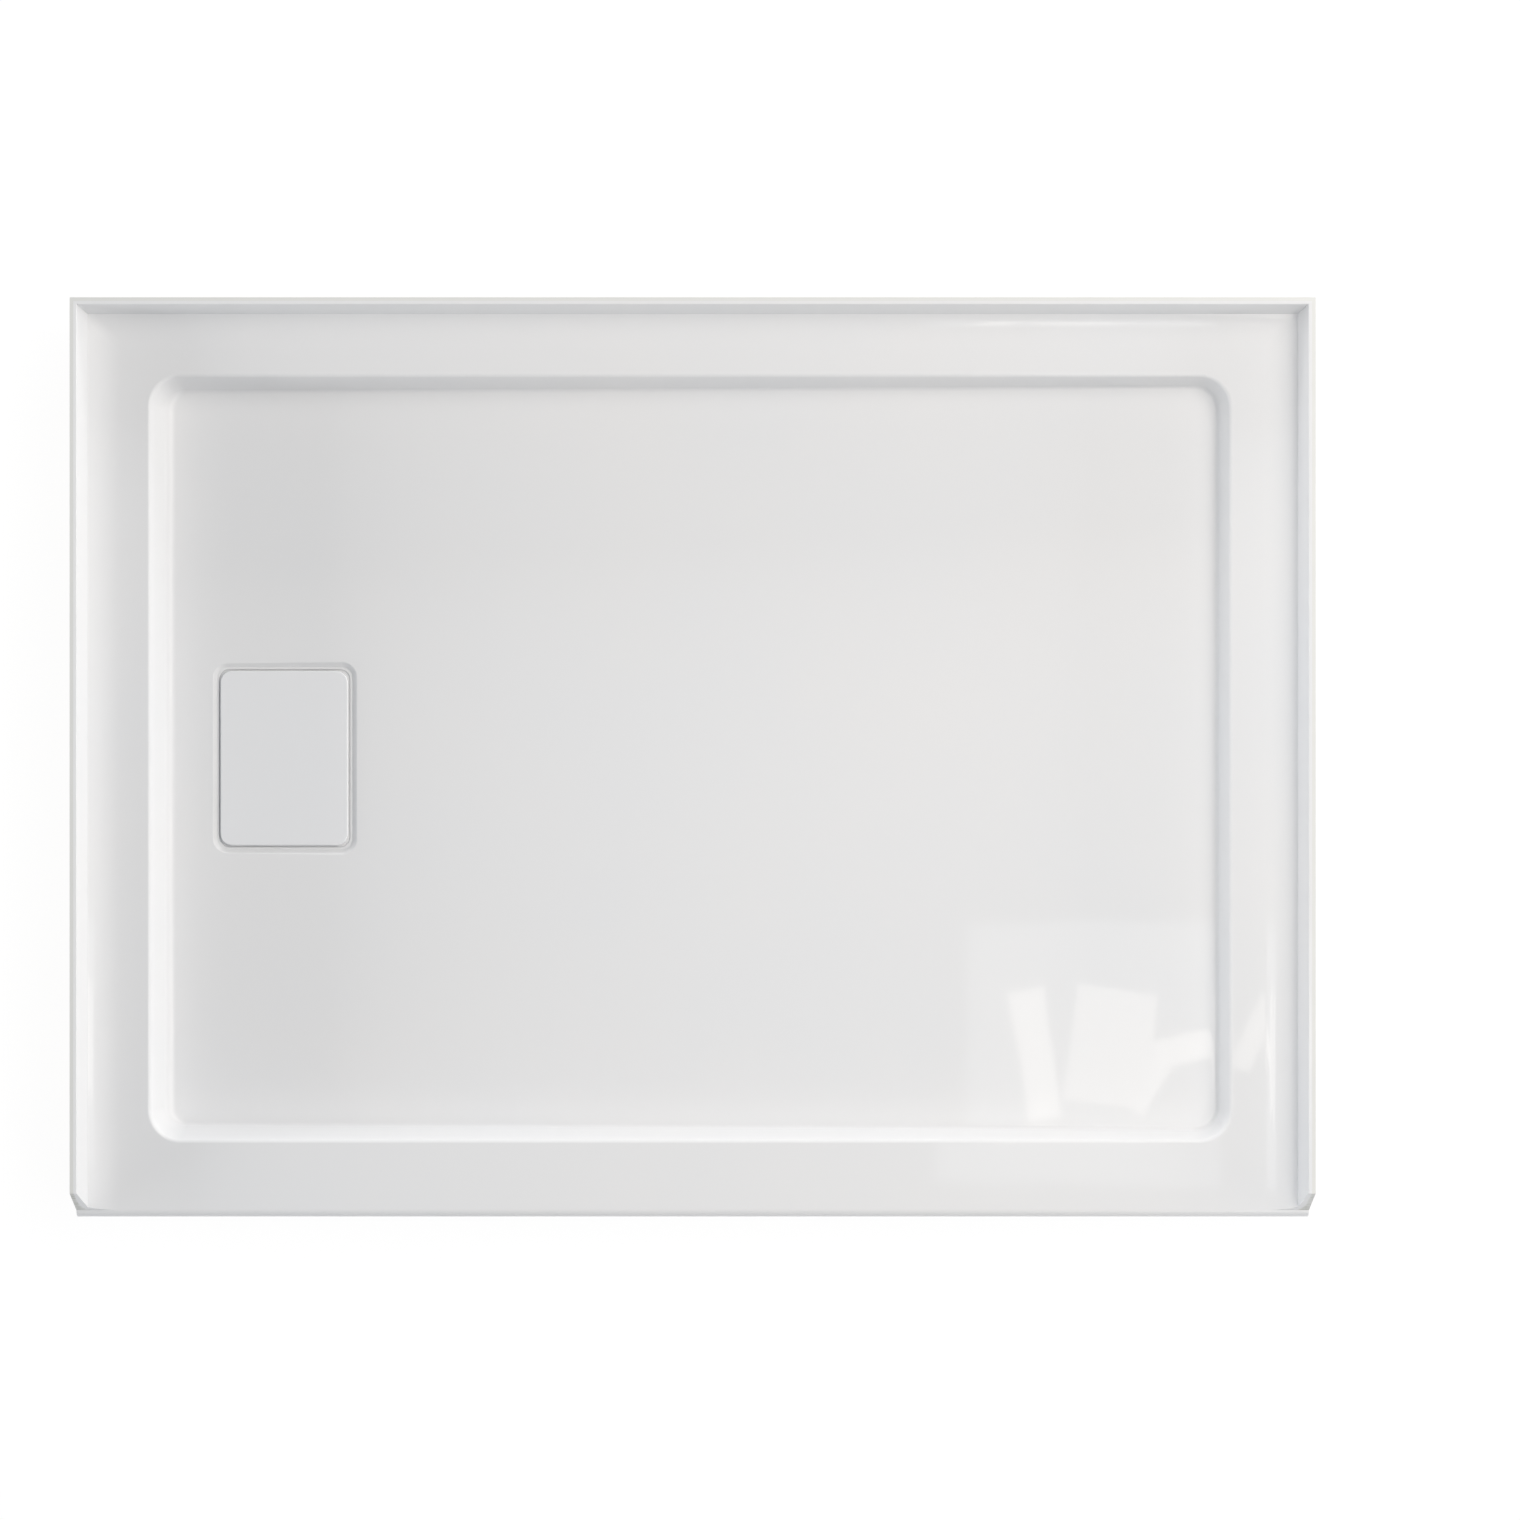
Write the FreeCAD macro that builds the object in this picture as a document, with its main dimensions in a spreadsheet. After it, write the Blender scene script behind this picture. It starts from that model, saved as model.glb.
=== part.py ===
import FreeCAD, Part
import math
import os
import Sketcher

# Shower tray for an alcove, 48 x 36 inch class, left-hand waste under a lift-off cover.
# X runs along the back wall and the waste is at -X; +Y is the back wall; Z is up from the supporting floor.
# The origin is the middle of the tray's footprint, on the floor.

SIZES = {
    # the moulding
    "tray_width": 1220.0,
    "tray_depth": 906.0,
    "deck_height": 100.0,
    "flange_rise": 30.0,
    "flange_draft": 3.0,
    "flange_cove_radius": 14.0,
    "flange_slant_run": 21.0,
    "acrylic_thickness": 3.2,
    "laminate_thickness": 3.6,
    "nose_radius": 7.5,
    # the recess that the shower floor lies in
    "rim_left": 73.2,
    "rim_right": 78.2,
    "rim_back": 73.2,
    "rim_front": 76.7,
    "recess_corner_radius": 30.0,
    "recess_draft": 15.5,
    "step_at_waste": 37.0,
    "step_far_end": 25.0,
    "rim_round": 8.0,
    "floor_cove_radius": 11.0,
    # the sump, and the shallow recess round it that the cover lies in
    "waste_from_left": 200.4,
    "sump_length": 120.0,
    "sump_breadth": 167.0,
    "sump_depth": 16.0,
    "sump_draft": 3.0,
    "sump_corner_radius": 8.0,
    "sump_rim_round": 2.0,
    "sump_cove_radius": 5.0,
    "cover_recess_depth": 3.6,
    "cover_recess_slope": 50.0,
    "cover_recess_corner_radius": 15.0,
    "cover_recess_rim_round": 3.5,
    "cover_recess_cove_radius": 5.0,
    # what carries the moulding
    "board_thickness": 12.0,
    "board_inset": 34.0,
    "board_corner_radius": 20.0,
    "board_cutout_gap": 7.0,
    "rail_thickness": 18.0,
    "threshold_rail_thickness": 38.0,
    "rail_edge_chamfer": 2.0,
    "rail_from_edge": 3.0,
    "rail_end_gap": 1.0,
    "block_side": 70.0,
    "block_chamfer": 4.0,
    "block_from_board_end": 40.0,
    "block_from_board_side": 94.0,
    # the waste fitting
    "barrel_diameter": 80.0,
    "barrel_length": 44.0,
    "barrel_wall": 5.0,
    "barrel_hole_gap": 2.0,
    "gasket_room": 4.5,
    "pipe_lip_height": 6.0,
    "waste_flange_reach": 9.0,
    "waste_flange_thickness": 3.0,
    "waste_flange_bevel": 1.5,
    "sealing_washer_thickness": 2.0,
    "friction_washer_thickness": 1.5,
    "locknut_height": 12.0,
    "locknut_plate": 3.0,
    "locknut_hub_wall": 7.0,
    "locknut_lug_height": 3.0,
    "locknut_lug_breadth": 12.0,
    "locknut_lug_count": 8.0,
    "ring_gap": 0.3,
    "gasket_height": 18.0,
    "compression_nut_height": 8.0,
    "compression_nut_slot": 9.0,
    "compression_nut_slot_count": 4.0,
    "compression_nut_rim": 1.2,
    "strainer_seat_width": 8.0,
    "strainer_thickness": 1.5,
    "strainer_skirt_depth": 6.0,
    "strainer_hole_diameter": 6.0,
    "strainer_ring_pitch": 10.0,
    "strainer_inner_hole_count": 6.0,
    # the cover
    "cover_overlap": 4.0,
    "cover_gap": 8.2,
    "cover_proud": 0.6,
    "cover_plate_thickness": 3.0,
    "cover_skirt_depth": 7.0,
    "cover_skirt_gap": 2.5,
    "cover_skirt_wall": 2.5,
    "cover_edge_round": 1.3,
    "cover_rib_thickness": 2.0,
    "cover_rib_pitch": 36.0,
    "cover_boss_diameter": 12.0,
    "cover_boss_inset_x": 14.5,
    "cover_boss_inset_y": 15.5,
    "cover_foot_thickness": 3.0,
    "cover_foot_diameter": 10.0,
    "cover_foot_plug_diameter": 5.0,
    "cover_foot_plug_length": 5.0,
    "cover_foot_bevel": 1.0,
}

doc = FreeCAD.newDocument("shower_tray")
sheet = doc.addObject("Spreadsheet::Sheet", "sizes")
for row, (alias, number) in enumerate(SIZES.items(), start=1):
    sheet.set(f"A{row}", alias)
    sheet.set(f"B{row}", str(number))
    sheet.setAlias(f"B{row}", alias)
doc.recompute()

# Places worked out from the sizes, as expressions that the sketches and features read.
FLANGE_TOP = "(sizes.deck_height + sizes.flange_rise)"
FRONT = "(-sizes.tray_depth / 2)"
BACK = "(sizes.tray_depth / 2)"
LEFT = "(-sizes.tray_width / 2)"
RIGHT = "(sizes.tray_width / 2)"
ACRYLIC_BACK = "sizes.acrylic_thickness"
LAMINATE_BACK = "(sizes.acrylic_thickness + sizes.laminate_thickness)"
RECESS_LEFT = f"({LEFT} + sizes.rim_left)"
RECESS_RIGHT = f"({RIGHT} - sizes.rim_right)"
RECESS_FRONT = f"({FRONT} + sizes.rim_front)"
RECESS_BACK = f"({BACK} - sizes.rim_back)"
RECESS_MIDDLE_Y = f"(({RECESS_FRONT} + {RECESS_BACK}) / 2)"
FALL = f"((sizes.step_at_waste - sizes.step_far_end) / ({RECESS_RIGHT} - {RECESS_LEFT}))"
WASTE_X = f"({LEFT} + sizes.waste_from_left)"
WASTE_Y = RECESS_MIDDLE_Y
# How far a cutting outline overshoots, how far above a face a cut starts, and the least radius of a round.
SPARE = 20.0
CLEAR = 2.0
LEAST_ROUND = 0.5
HALF_PI = math.pi / 2


def floor_height(x, below="0"):
    """Height of the falling shower floor at x, or of the plane that lies `below` under its face."""
    return (
        f"(sizes.deck_height - sizes.step_at_waste + (({x}) - {RECESS_LEFT}) * {FALL}"
        f" - ({below}) * sqrt(1 + {FALL} * {FALL}))"
    )


SUMP_FLOOR = f"({floor_height(WASTE_X)} - sizes.sump_depth)"
COVER_LEDGE = f"({floor_height(WASTE_X)} - sizes.cover_recess_depth)"


def value(expression):
    """The number that an expression on the sheet gives."""
    number = sheet.evalExpression(expression.replace("sizes.", ""))
    return float(getattr(number, "Value", number))


def settled(feature):
    """Recompute, and stop if the feature has failed."""
    doc.recompute()
    if "Invalid" in feature.State or "Error" in feature.State or feature.Shape.isNull():
        raise RuntimeError(f"{feature.Name} failed")
    return feature


def new_body(label):
    body = doc.addObject("PartDesign::Body", label)
    body.Label = label
    return body


def bind(thing, prop, expression):
    """Tie one property of a feature to an expression on the sheet."""
    thing.setExpression(prop, expression)


def new_sketch(body, plane, name, offset="0"):
    """A sketch on one of the body's own origin planes, moved along that plane's normal."""
    sketch = body.newObject("Sketcher::SketchObject", name)
    support = [feature for feature in body.Origin.OriginFeatures if feature.Role == plane]
    sketch.AttachmentSupport = [(support[0], "")]
    sketch.MapMode = "FlatFace"
    bind(sketch, ".AttachmentOffset.Base.z", offset)
    return sketch


def place_point(sketch, geometry, end, x, y):
    """Dimension one end of a line from the sketch's origin."""
    for kind, expression in (("DistanceX", x), ("DistanceY", y)):
        index = sketch.addConstraint(
            Sketcher.Constraint(kind, -1, 1, geometry, end, value(expression))
        )
        bind(sketch, f"Constraints[{index}]", expression)


def draw_polygon(sketch, corners):
    """A closed outline of straight lines; corners are pairs of expressions."""
    points = [FreeCAD.Vector(value(x), value(y), 0) for x, y in corners]
    count = len(points)
    base = sketch.GeometryCount
    for i in range(count):
        sketch.addGeometry(Part.LineSegment(points[i], points[(i + 1) % count]), False)
    for i in range(count):
        following = base + (i + 1) % count
        sketch.addConstraint(Sketcher.Constraint("Coincident", base + i, 2, following, 1))
    for i, (x, y) in enumerate(corners):
        place_point(sketch, base + i, 1, x, y)


def draw_rectangle(sketch, left, right, front, back):
    draw_polygon(sketch, [(left, front), (right, front), (right, back), (left, back)])


def draw_rounded_rectangle(sketch, left, right, front, back, radius):
    """A rectangle with equal tangent arcs at its corners."""
    x0, x1, y0, y1, r = (value(item) for item in (left, right, front, back, radius))
    vector = FreeCAD.Vector
    sides = [
        ((x0 + r, y0), (x1 - r, y0)),
        ((x1, y0 + r), (x1, y1 - r)),
        ((x1 - r, y1), (x0 + r, y1)),
        ((x0, y1 - r), (x0, y0 + r)),
    ]
    centres = [(x1 - r, y0 + r), (x1 - r, y1 - r), (x0 + r, y1 - r), (x0 + r, y0 + r)]
    lines = [
        sketch.addGeometry(Part.LineSegment(vector(*start, 0), vector(*end, 0)), False)
        for start, end in sides
    ]
    arcs = []
    for i, centre in enumerate(centres):
        circle = Part.Circle(vector(*centre, 0), vector(0, 0, 1), r)
        start = (i - 1) * HALF_PI
        arcs.append(sketch.addGeometry(Part.ArcOfCircle(circle, start, start + HALF_PI), False))
    for i in range(4):
        sketch.addConstraint(Sketcher.Constraint("Tangent", lines[i], 2, arcs[i], 1))
        sketch.addConstraint(Sketcher.Constraint("Tangent", arcs[i], 2, lines[(i + 1) % 4], 1))
        sketch.addConstraint(Sketcher.Constraint("Horizontal" if i % 2 == 0 else "Vertical", lines[i]))
    for arc in arcs[1:]:
        sketch.addConstraint(Sketcher.Constraint("Equal", arcs[0], arc))
    index = sketch.addConstraint(Sketcher.Constraint("Radius", arcs[0], r))
    bind(sketch, f"Constraints[{index}]", radius)
    for kind, line, expression in (
        ("DistanceY", 0, front),
        ("DistanceX", 1, right),
        ("DistanceY", 2, back),
        ("DistanceX", 3, left),
    ):
        index = sketch.addConstraint(
            Sketcher.Constraint(kind, -1, 1, lines[line], 1, value(expression))
        )
        bind(sketch, f"Constraints[{index}]", expression)


def draw_circle(sketch, x, y, diameter):
    centre = FreeCAD.Vector(value(x), value(y), 0)
    radius = value(diameter) / 2
    circle = sketch.addGeometry(Part.Circle(centre, FreeCAD.Vector(0, 0, 1), radius), False)
    index = sketch.addConstraint(Sketcher.Constraint("Diameter", circle, 2 * radius))
    bind(sketch, f"Constraints[{index}]", diameter)
    place_point(sketch, circle, 3, x, y)


def extrude(body, kind, sketch, length, name, taper=None, both_ways=False, reverse=False):
    """A Pad or a Pocket of the sketch."""
    feature = body.newObject(f"PartDesign::{kind}", name)
    feature.Profile = sketch
    feature.Midplane = both_ways
    feature.Reversed = reverse
    bind(feature, "Length", length)
    if taper is not None:
        bind(feature, "TaperAngle", taper)
    sketch.Visibility = False
    return settled(feature)


def revolve(body, sketch, name):
    """A full turn of the sketch about its own vertical axis."""
    feature = body.newObject("PartDesign::Revolution", name)
    feature.Profile = sketch
    feature.ReferenceAxis = (sketch, ["V_Axis"])
    feature.Angle = 360
    return settled(feature)


def dress_edges(kind, body, base, chosen, size, name):
    """A Fillet or a Chamfer on those edges of the last feature that the test picks."""
    names = [f"Edge{i}" for i, edge in enumerate(base.Shape.Edges, start=1) if chosen(edge)]
    if not names:
        raise RuntimeError(f"{body.Label}: no edge for {name}")
    feature = body.newObject(f"PartDesign::{kind}", name)
    feature.Base = (base, names)
    bind(feature, "Radius" if kind == "Fillet" else "Size", size)
    return settled(feature)


def round_edges(body, base, chosen, radius, name):
    return dress_edges("Fillet", body, base, chosen, radius, name)


def bevel_edges(body, base, chosen, size, name):
    return dress_edges("Chamfer", body, base, chosen, size, name)


def repeat_round(body, feature, count, name):
    """Repeat a feature evenly in a full turn about the body's vertical axis."""
    axis = [item for item in body.Origin.OriginFeatures if item.Role == "Z_Axis"]
    pattern = body.newObject("PartDesign::PolarPattern", name)
    pattern.Originals = [feature]
    pattern.Axis = (axis[0], [""])
    pattern.Angle = 360
    bind(pattern, "Occurrences", count)
    body.Tip = pattern
    return settled(pattern)


def near(a, b, within=0.01):
    return abs(a - b) < within


def at_height(edge, height):
    """True for an edge that lies level at this height."""
    return near(edge.BoundBox.ZMin, height) and near(edge.BoundBox.ZMax, height)


def is_upright(edge):
    """True for an edge that stands straight up."""
    return near(edge.BoundBox.XLength, 0) and near(edge.BoundBox.YLength, 0)


def stand_at(body, x, y, z="0"):
    """Place a body whose own origin is on its axis."""
    bind(body, ".Placement.Base.x", x)
    bind(body, ".Placement.Base.y", y)
    bind(body, ".Placement.Base.z", z)


def draw_front(sketch, depth):
    """What is cut away before a face of the moulding: up the apron, round the nose, up the slant."""
    low = f"(-{SPARE})"
    high = f"({FLANGE_TOP} + {SPARE})"
    before = f"({FRONT} - 2 * {SPARE})"
    face = f"({FRONT} + {depth})"
    nose_start = "(sizes.deck_height - sizes.nose_radius)"
    nose_end = f"({FRONT} + sizes.nose_radius)"
    slope = "(sizes.flange_slant_run / sizes.flange_rise)"
    corners = [(before, low), (face, low), (face, nose_start), (nose_end, f"(sizes.deck_height - {depth})")]
    if depth != "0":
        corners.append((nose_end, "sizes.deck_height"))
    corners.append((f"({nose_end} + (sizes.flange_rise + {SPARE}) * {slope})", high))
    corners.append((before, high))
    points = [FreeCAD.Vector(value(x), value(y), 0) for x, y in corners]
    count = len(points)
    nose = 2
    for i in range(count):
        start = points[i]
        end = points[(i + 1) % count]
        if i == nose:
            radius = value(f"sizes.nose_radius - {depth}")
            centre = FreeCAD.Vector(value(nose_end), value(nose_start), 0)
            circle = Part.Circle(centre, FreeCAD.Vector(0, 0, 1), radius)
            sketch.addGeometry(Part.ArcOfCircle(circle, HALF_PI, 2 * HALF_PI), False)
        else:
            sketch.addGeometry(Part.LineSegment(start, end), False)
    for i in range(count):
        # the arc is drawn anticlockwise, so it runs from the deck down to the apron
        leaving = 1 if i == nose else 2
        arriving = 2 if (i + 1) % count == nose else 1
        sketch.addConstraint(Sketcher.Constraint("Coincident", i, leaving, (i + 1) % count, arriving))
    for i, (x, y) in enumerate(corners):
        place_point(sketch, i, 2 if i == nose else 1, x, y)
    index = sketch.addConstraint(
        Sketcher.Constraint("Radius", nose, value(f"sizes.nose_radius - {depth}"))
    )
    bind(sketch, f"Constraints[{index}]", f"sizes.nose_radius - {depth}")


RECESS_REACH = "(sizes.cover_overlap + sizes.cover_gap)"


def sump_outline(sketch, reach, radius, widened):
    """The sump's outline moved outwards by reach, its corner radius grown by widened."""
    draw_rounded_rectangle(
        sketch,
        f"{WASTE_X} - sizes.sump_length / 2 - {reach}",
        f"{WASTE_X} + sizes.sump_length / 2 + {reach}",
        f"{WASTE_Y} - sizes.sump_breadth / 2 - {reach}",
        f"{WASTE_Y} + sizes.sump_breadth / 2 + {reach}",
        f"{radius} + {widened}",
    )


def moulded_form(name, depth, flange_face):
    """Everything that lies under the moulding's visible face, with that face moved `depth` inwards.

    flange_face is how far the upright flange's face stands inside the tray's outer faces;
    None leaves the flange out.
    """
    body = new_body(name)
    deck = f"(sizes.deck_height - {depth})"

    blank = new_sketch(body, "XY_Plane", f"{name}_blank_outline")
    draw_rectangle(blank, LEFT, RIGHT, f"{FRONT} - {SPARE}", BACK)
    solid = extrude(body, "Pad", blank, FLANGE_TOP, f"{name}_blank")

    inset = flange_face if flange_face is not None else f"-{SPARE}"
    alcove = new_sketch(body, "XY_Plane", f"{name}_alcove_outline", FLANGE_TOP)
    draw_rectangle(
        alcove, f"{LEFT} + {inset}", f"{RIGHT} - {inset}", f"{FRONT} - 2 * {SPARE}", f"{BACK} - {inset}"
    )
    rise = f"sizes.flange_rise + {depth}"
    solid = extrude(body, "Pocket", alcove, rise, f"{name}_alcove", "-sizes.flange_draft")

    if flange_face is not None:
        def is_foot(edge):
            inside = abs(edge.BoundBox.Center.x) < value(RIGHT) - 1
            return at_height(edge, value(deck)) and inside and edge.BoundBox.YMax > 0

        cove = f"sizes.flange_cove_radius + {depth}"
        solid = round_edges(body, solid, is_foot, cove, f"{name}_flange_cove")

    # The apron's face, the rolled nose over it and the slanted front ends of the flange.
    front_end = new_sketch(body, "YZ_Plane", f"{name}_front_outline")
    draw_front(front_end, depth)
    span = f"sizes.tray_width + {SPARE}"
    solid = extrude(body, "Pocket", front_end, span, f"{name}_front", both_ways=True)

    grown = f"({depth} / cos(sizes.recess_draft))"
    recess = new_sketch(body, "XY_Plane", f"{name}_recess_outline", "sizes.deck_height")
    draw_rounded_rectangle(
        recess,
        f"{RECESS_LEFT} - {grown}",
        f"{RECESS_RIGHT} + {grown}",
        f"{RECESS_FRONT} - {grown}",
        f"{RECESS_BACK} + {grown}",
        f"sizes.recess_corner_radius + {grown}",
    )
    deep = f"sizes.step_at_waste + {depth} + 2 * {CLEAR}"
    solid = extrude(body, "Pocket", recess, deep, f"{name}_recess", "-sizes.recess_draft")

    fall = new_sketch(body, "XZ_Plane", f"{name}_fall_outline")
    low_x = f"({LEFT} + {SPARE})"
    high_x = f"({RIGHT} - {SPARE})"
    draw_polygon(
        fall,
        [
            (low_x, "0"),
            (high_x, "0"),
            (high_x, floor_height(high_x, depth)),
            (low_x, floor_height(low_x, depth)),
        ],
    )
    across = f"sizes.tray_depth - 2 * {SPARE}"
    solid = extrude(body, "Pad", fall, across, f"{name}_fall", both_ways=True)

    def is_floor_edge(edge):
        box = edge.BoundBox
        inside = box.XMin > value(RECESS_LEFT) - 1 and box.XMax < value(RECESS_RIGHT) + 1
        ends = [vertex.Point for vertex in edge.Vertexes]
        heights = [value(floor_height(str(point.x), depth)) for point in ends]
        return inside and all(near(point.z, height) for point, height in zip(ends, heights))

    cove = f"sizes.floor_cove_radius + {depth}"
    solid = round_edges(body, solid, is_floor_edge, cove, f"{name}_floor_cove")

    def is_rim(edge):
        box = edge.BoundBox
        right_of_left_edge = box.XMin > value(f"{RECESS_LEFT} - {grown}") - 1
        left_of_right_edge = box.XMax < value(f"{RECESS_RIGHT} + {grown}") + 1
        behind_front_edge = box.YMin > value(f"{RECESS_FRONT} - {grown}") - 1
        inside = right_of_left_edge and left_of_right_edge and behind_front_edge
        return at_height(edge, value(deck)) and inside

    rim = f"max(sizes.rim_round - {depth}; {LEAST_ROUND})"
    solid = round_edges(body, solid, is_rim, rim, f"{name}_recess_rim")

    def within_sump(edge, reach):
        """True for an edge that lies inside the sump's outline widened by reach."""
        box = edge.BoundBox
        half_x = value(f"sizes.sump_length / 2 + {reach}")
        half_y = value(f"sizes.sump_breadth / 2 + {reach}")
        inside_x = box.XMin > value(WASTE_X) - half_x and box.XMax < value(WASTE_X) + half_x
        return inside_x and box.YMin > value(WASTE_Y) - half_y and box.YMax < value(WASTE_Y) + half_y

    # The shallow recess that the cover lies in: sloped sides down to a level ledge.
    slope = "sizes.cover_recess_slope"
    grown = f"({depth} / cos({slope}) + {CLEAR} * tan({slope}))"
    cover_recess = new_sketch(
        body, "XY_Plane", f"{name}_cover_recess_outline", f"{floor_height(WASTE_X)} + {CLEAR}"
    )
    sump_outline(cover_recess, f"({RECESS_REACH} + {grown})", "sizes.cover_recess_corner_radius", grown)
    down = f"sizes.cover_recess_depth + {CLEAR} + {depth}"
    solid = extrude(body, "Pocket", cover_recess, down, f"{name}_cover_recess", f"-{slope}")

    def is_cover_recess_rim(edge):
        ends = [vertex.Point for vertex in edge.Vertexes]
        heights = [value(floor_height(str(point.x), depth)) for point in ends]
        on_floor = all(near(point.z, height) for point, height in zip(ends, heights))
        return on_floor and within_sump(edge, f"{RECESS_REACH} + {SPARE}")

    rim = f"max(sizes.cover_recess_rim_round - {depth}; {LEAST_ROUND})"
    solid = round_edges(body, solid, is_cover_recess_rim, rim, f"{name}_cover_recess_rim")

    def on_ledge(edge):
        return at_height(edge, value(f"{COVER_LEDGE} - {depth}"))

    cove = "sizes.cover_recess_cove_radius"
    solid = round_edges(body, solid, on_ledge, cove, f"{name}_cover_recess_cove")

    grown = f"({depth} / cos(sizes.sump_draft))"
    sump = new_sketch(body, "XY_Plane", f"{name}_sump_outline", f"{COVER_LEDGE} + {CLEAR}")
    sump_outline(sump, grown, "sizes.sump_corner_radius", grown)
    down = f"sizes.sump_depth - sizes.cover_recess_depth + {CLEAR} + {depth}"
    solid = extrude(body, "Pocket", sump, down, f"{name}_sump", "-sizes.sump_draft")

    def is_sump_rim(edge):
        return on_ledge(edge) and within_sump(edge, f"{grown} + {LEAST_ROUND}")

    rim = f"max(sizes.sump_rim_round - {depth}; {LEAST_ROUND})"
    solid = round_edges(body, solid, is_sump_rim, rim, f"{name}_sump_rim")

    def is_sump_floor(edge):
        return at_height(edge, value(f"{SUMP_FLOOR} - {depth}"))

    cove = f"sizes.sump_cove_radius + {depth}"
    solid = round_edges(body, solid, is_sump_floor, cove, f"{name}_sump_cove")

    hole = new_sketch(body, "XY_Plane", f"{name}_waste_hole_outline")
    draw_circle(hole, WASTE_X, WASTE_Y, "sizes.barrel_diameter + 2 * sizes.barrel_hole_gap")
    extrude(body, "Pocket", hole, SUMP_FLOOR, f"{name}_waste_hole", reverse=True)
    return body


def moulded_layer(label, outer, inner):
    """One layer of the moulding: what lies between two forms."""
    layer = doc.addObject("Part::Cut", label)
    layer.Label = label
    layer.Base = outer
    layer.Tool = inner
    return settled(layer)


# The moulding: an acrylic sheet, and the glass-fibre laminate that is sprayed on its back.
form_face = moulded_form("form_face", "0", LAMINATE_BACK)
form_acrylic_back = moulded_form("form_acrylic_back", ACRYLIC_BACK, "sizes.laminate_thickness")
form_laminate_back = moulded_form("form_laminate_back", LAMINATE_BACK, None)
acrylic_shell = moulded_layer("acrylic_shell", form_face, form_acrylic_back)
fibreglass_backing = moulded_layer("fibreglass_backing", form_acrylic_back, form_laminate_back)
pieces = [acrylic_shell, fibreglass_backing]

DECK_UNDERSIDE = f"(sizes.deck_height - {LAMINATE_BACK})"
BOARD_UNDERSIDE = f"({LAMINATE_BACK} + sizes.board_thickness)"
BOARD_LEFT = f"({RECESS_LEFT} + sizes.board_inset)"
BOARD_RIGHT = f"({RECESS_RIGHT} - sizes.board_inset)"
BOARD_FRONT = f"({RECESS_FRONT} + sizes.board_inset)"
BOARD_BACK = f"({RECESS_BACK} - sizes.board_inset)"


def make_floor_board():
    """The chipboard under the floor: a slab that follows the fall, cut out round the cover's recess."""
    body = new_body("floor_board")
    slab = new_sketch(body, "XZ_Plane", "board_section", f"-{RECESS_MIDDLE_Y}")
    draw_polygon(
        slab,
        [
            (BOARD_LEFT, floor_height(BOARD_LEFT, BOARD_UNDERSIDE)),
            (BOARD_RIGHT, floor_height(BOARD_RIGHT, BOARD_UNDERSIDE)),
            (BOARD_RIGHT, floor_height(BOARD_RIGHT, LAMINATE_BACK)),
            (BOARD_LEFT, floor_height(BOARD_LEFT, LAMINATE_BACK)),
        ],
    )
    across = f"{BOARD_BACK} - {BOARD_FRONT}"
    solid = extrude(body, "Pad", slab, across, "board_slab", both_ways=True)
    solid = round_edges(body, solid, is_upright, "sizes.board_corner_radius", "board_corners")

    cutout = new_sketch(body, "XY_Plane", "board_cutout_outline")
    gap = "sizes.board_cutout_gap"
    sump_outline(cutout, f"({RECESS_REACH} + {gap})", "sizes.cover_recess_corner_radius", gap)
    extrude(body, "Pocket", cutout, "sizes.deck_height", "board_cutout", reverse=True)
    return body


def make_rail(label, left, right, front, back):
    """A timber rail on edge under the rim, from the supporting floor to the laminate, with eased edges."""
    body = new_body(label)
    outline = new_sketch(body, "XY_Plane", f"{label}_outline")
    draw_rectangle(outline, left, right, front, back)
    solid = extrude(body, "Pad", outline, DECK_UNDERSIDE, f"{label}_plank")

    def runs_along(edge):
        box = edge.BoundBox
        return near(box.ZLength, 0) and max(box.XLength, box.YLength) > value(DECK_UNDERSIDE) * 2

    bevel_edges(body, solid, runs_along, "sizes.rail_edge_chamfer", f"{label}_eased_edges")
    return body


def make_rails():
    """Rails under the four rims; the side rails run from the threshold's to the back one."""
    left = f"({LEFT} + sizes.rail_from_edge)"
    right = f"({RIGHT} - sizes.rail_from_edge)"
    front = f"({FRONT} + {LAMINATE_BACK})"
    behind_threshold = f"({front} + sizes.threshold_rail_thickness)"
    back = f"({BACK} - sizes.rail_from_edge)"
    before_back = f"({back} - sizes.rail_thickness)"
    side_front = f"({behind_threshold} + sizes.rail_end_gap)"
    side_back = f"({before_back} - sizes.rail_end_gap)"
    return [
        make_rail("threshold_rail", left, right, front, behind_threshold),
        make_rail("back_rail", left, right, before_back, back),
        make_rail("left_rail", left, f"{left} + sizes.rail_thickness", side_front, side_back),
        make_rail("right_rail", f"{right} - sizes.rail_thickness", right, side_front, side_back),
    ]


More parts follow.
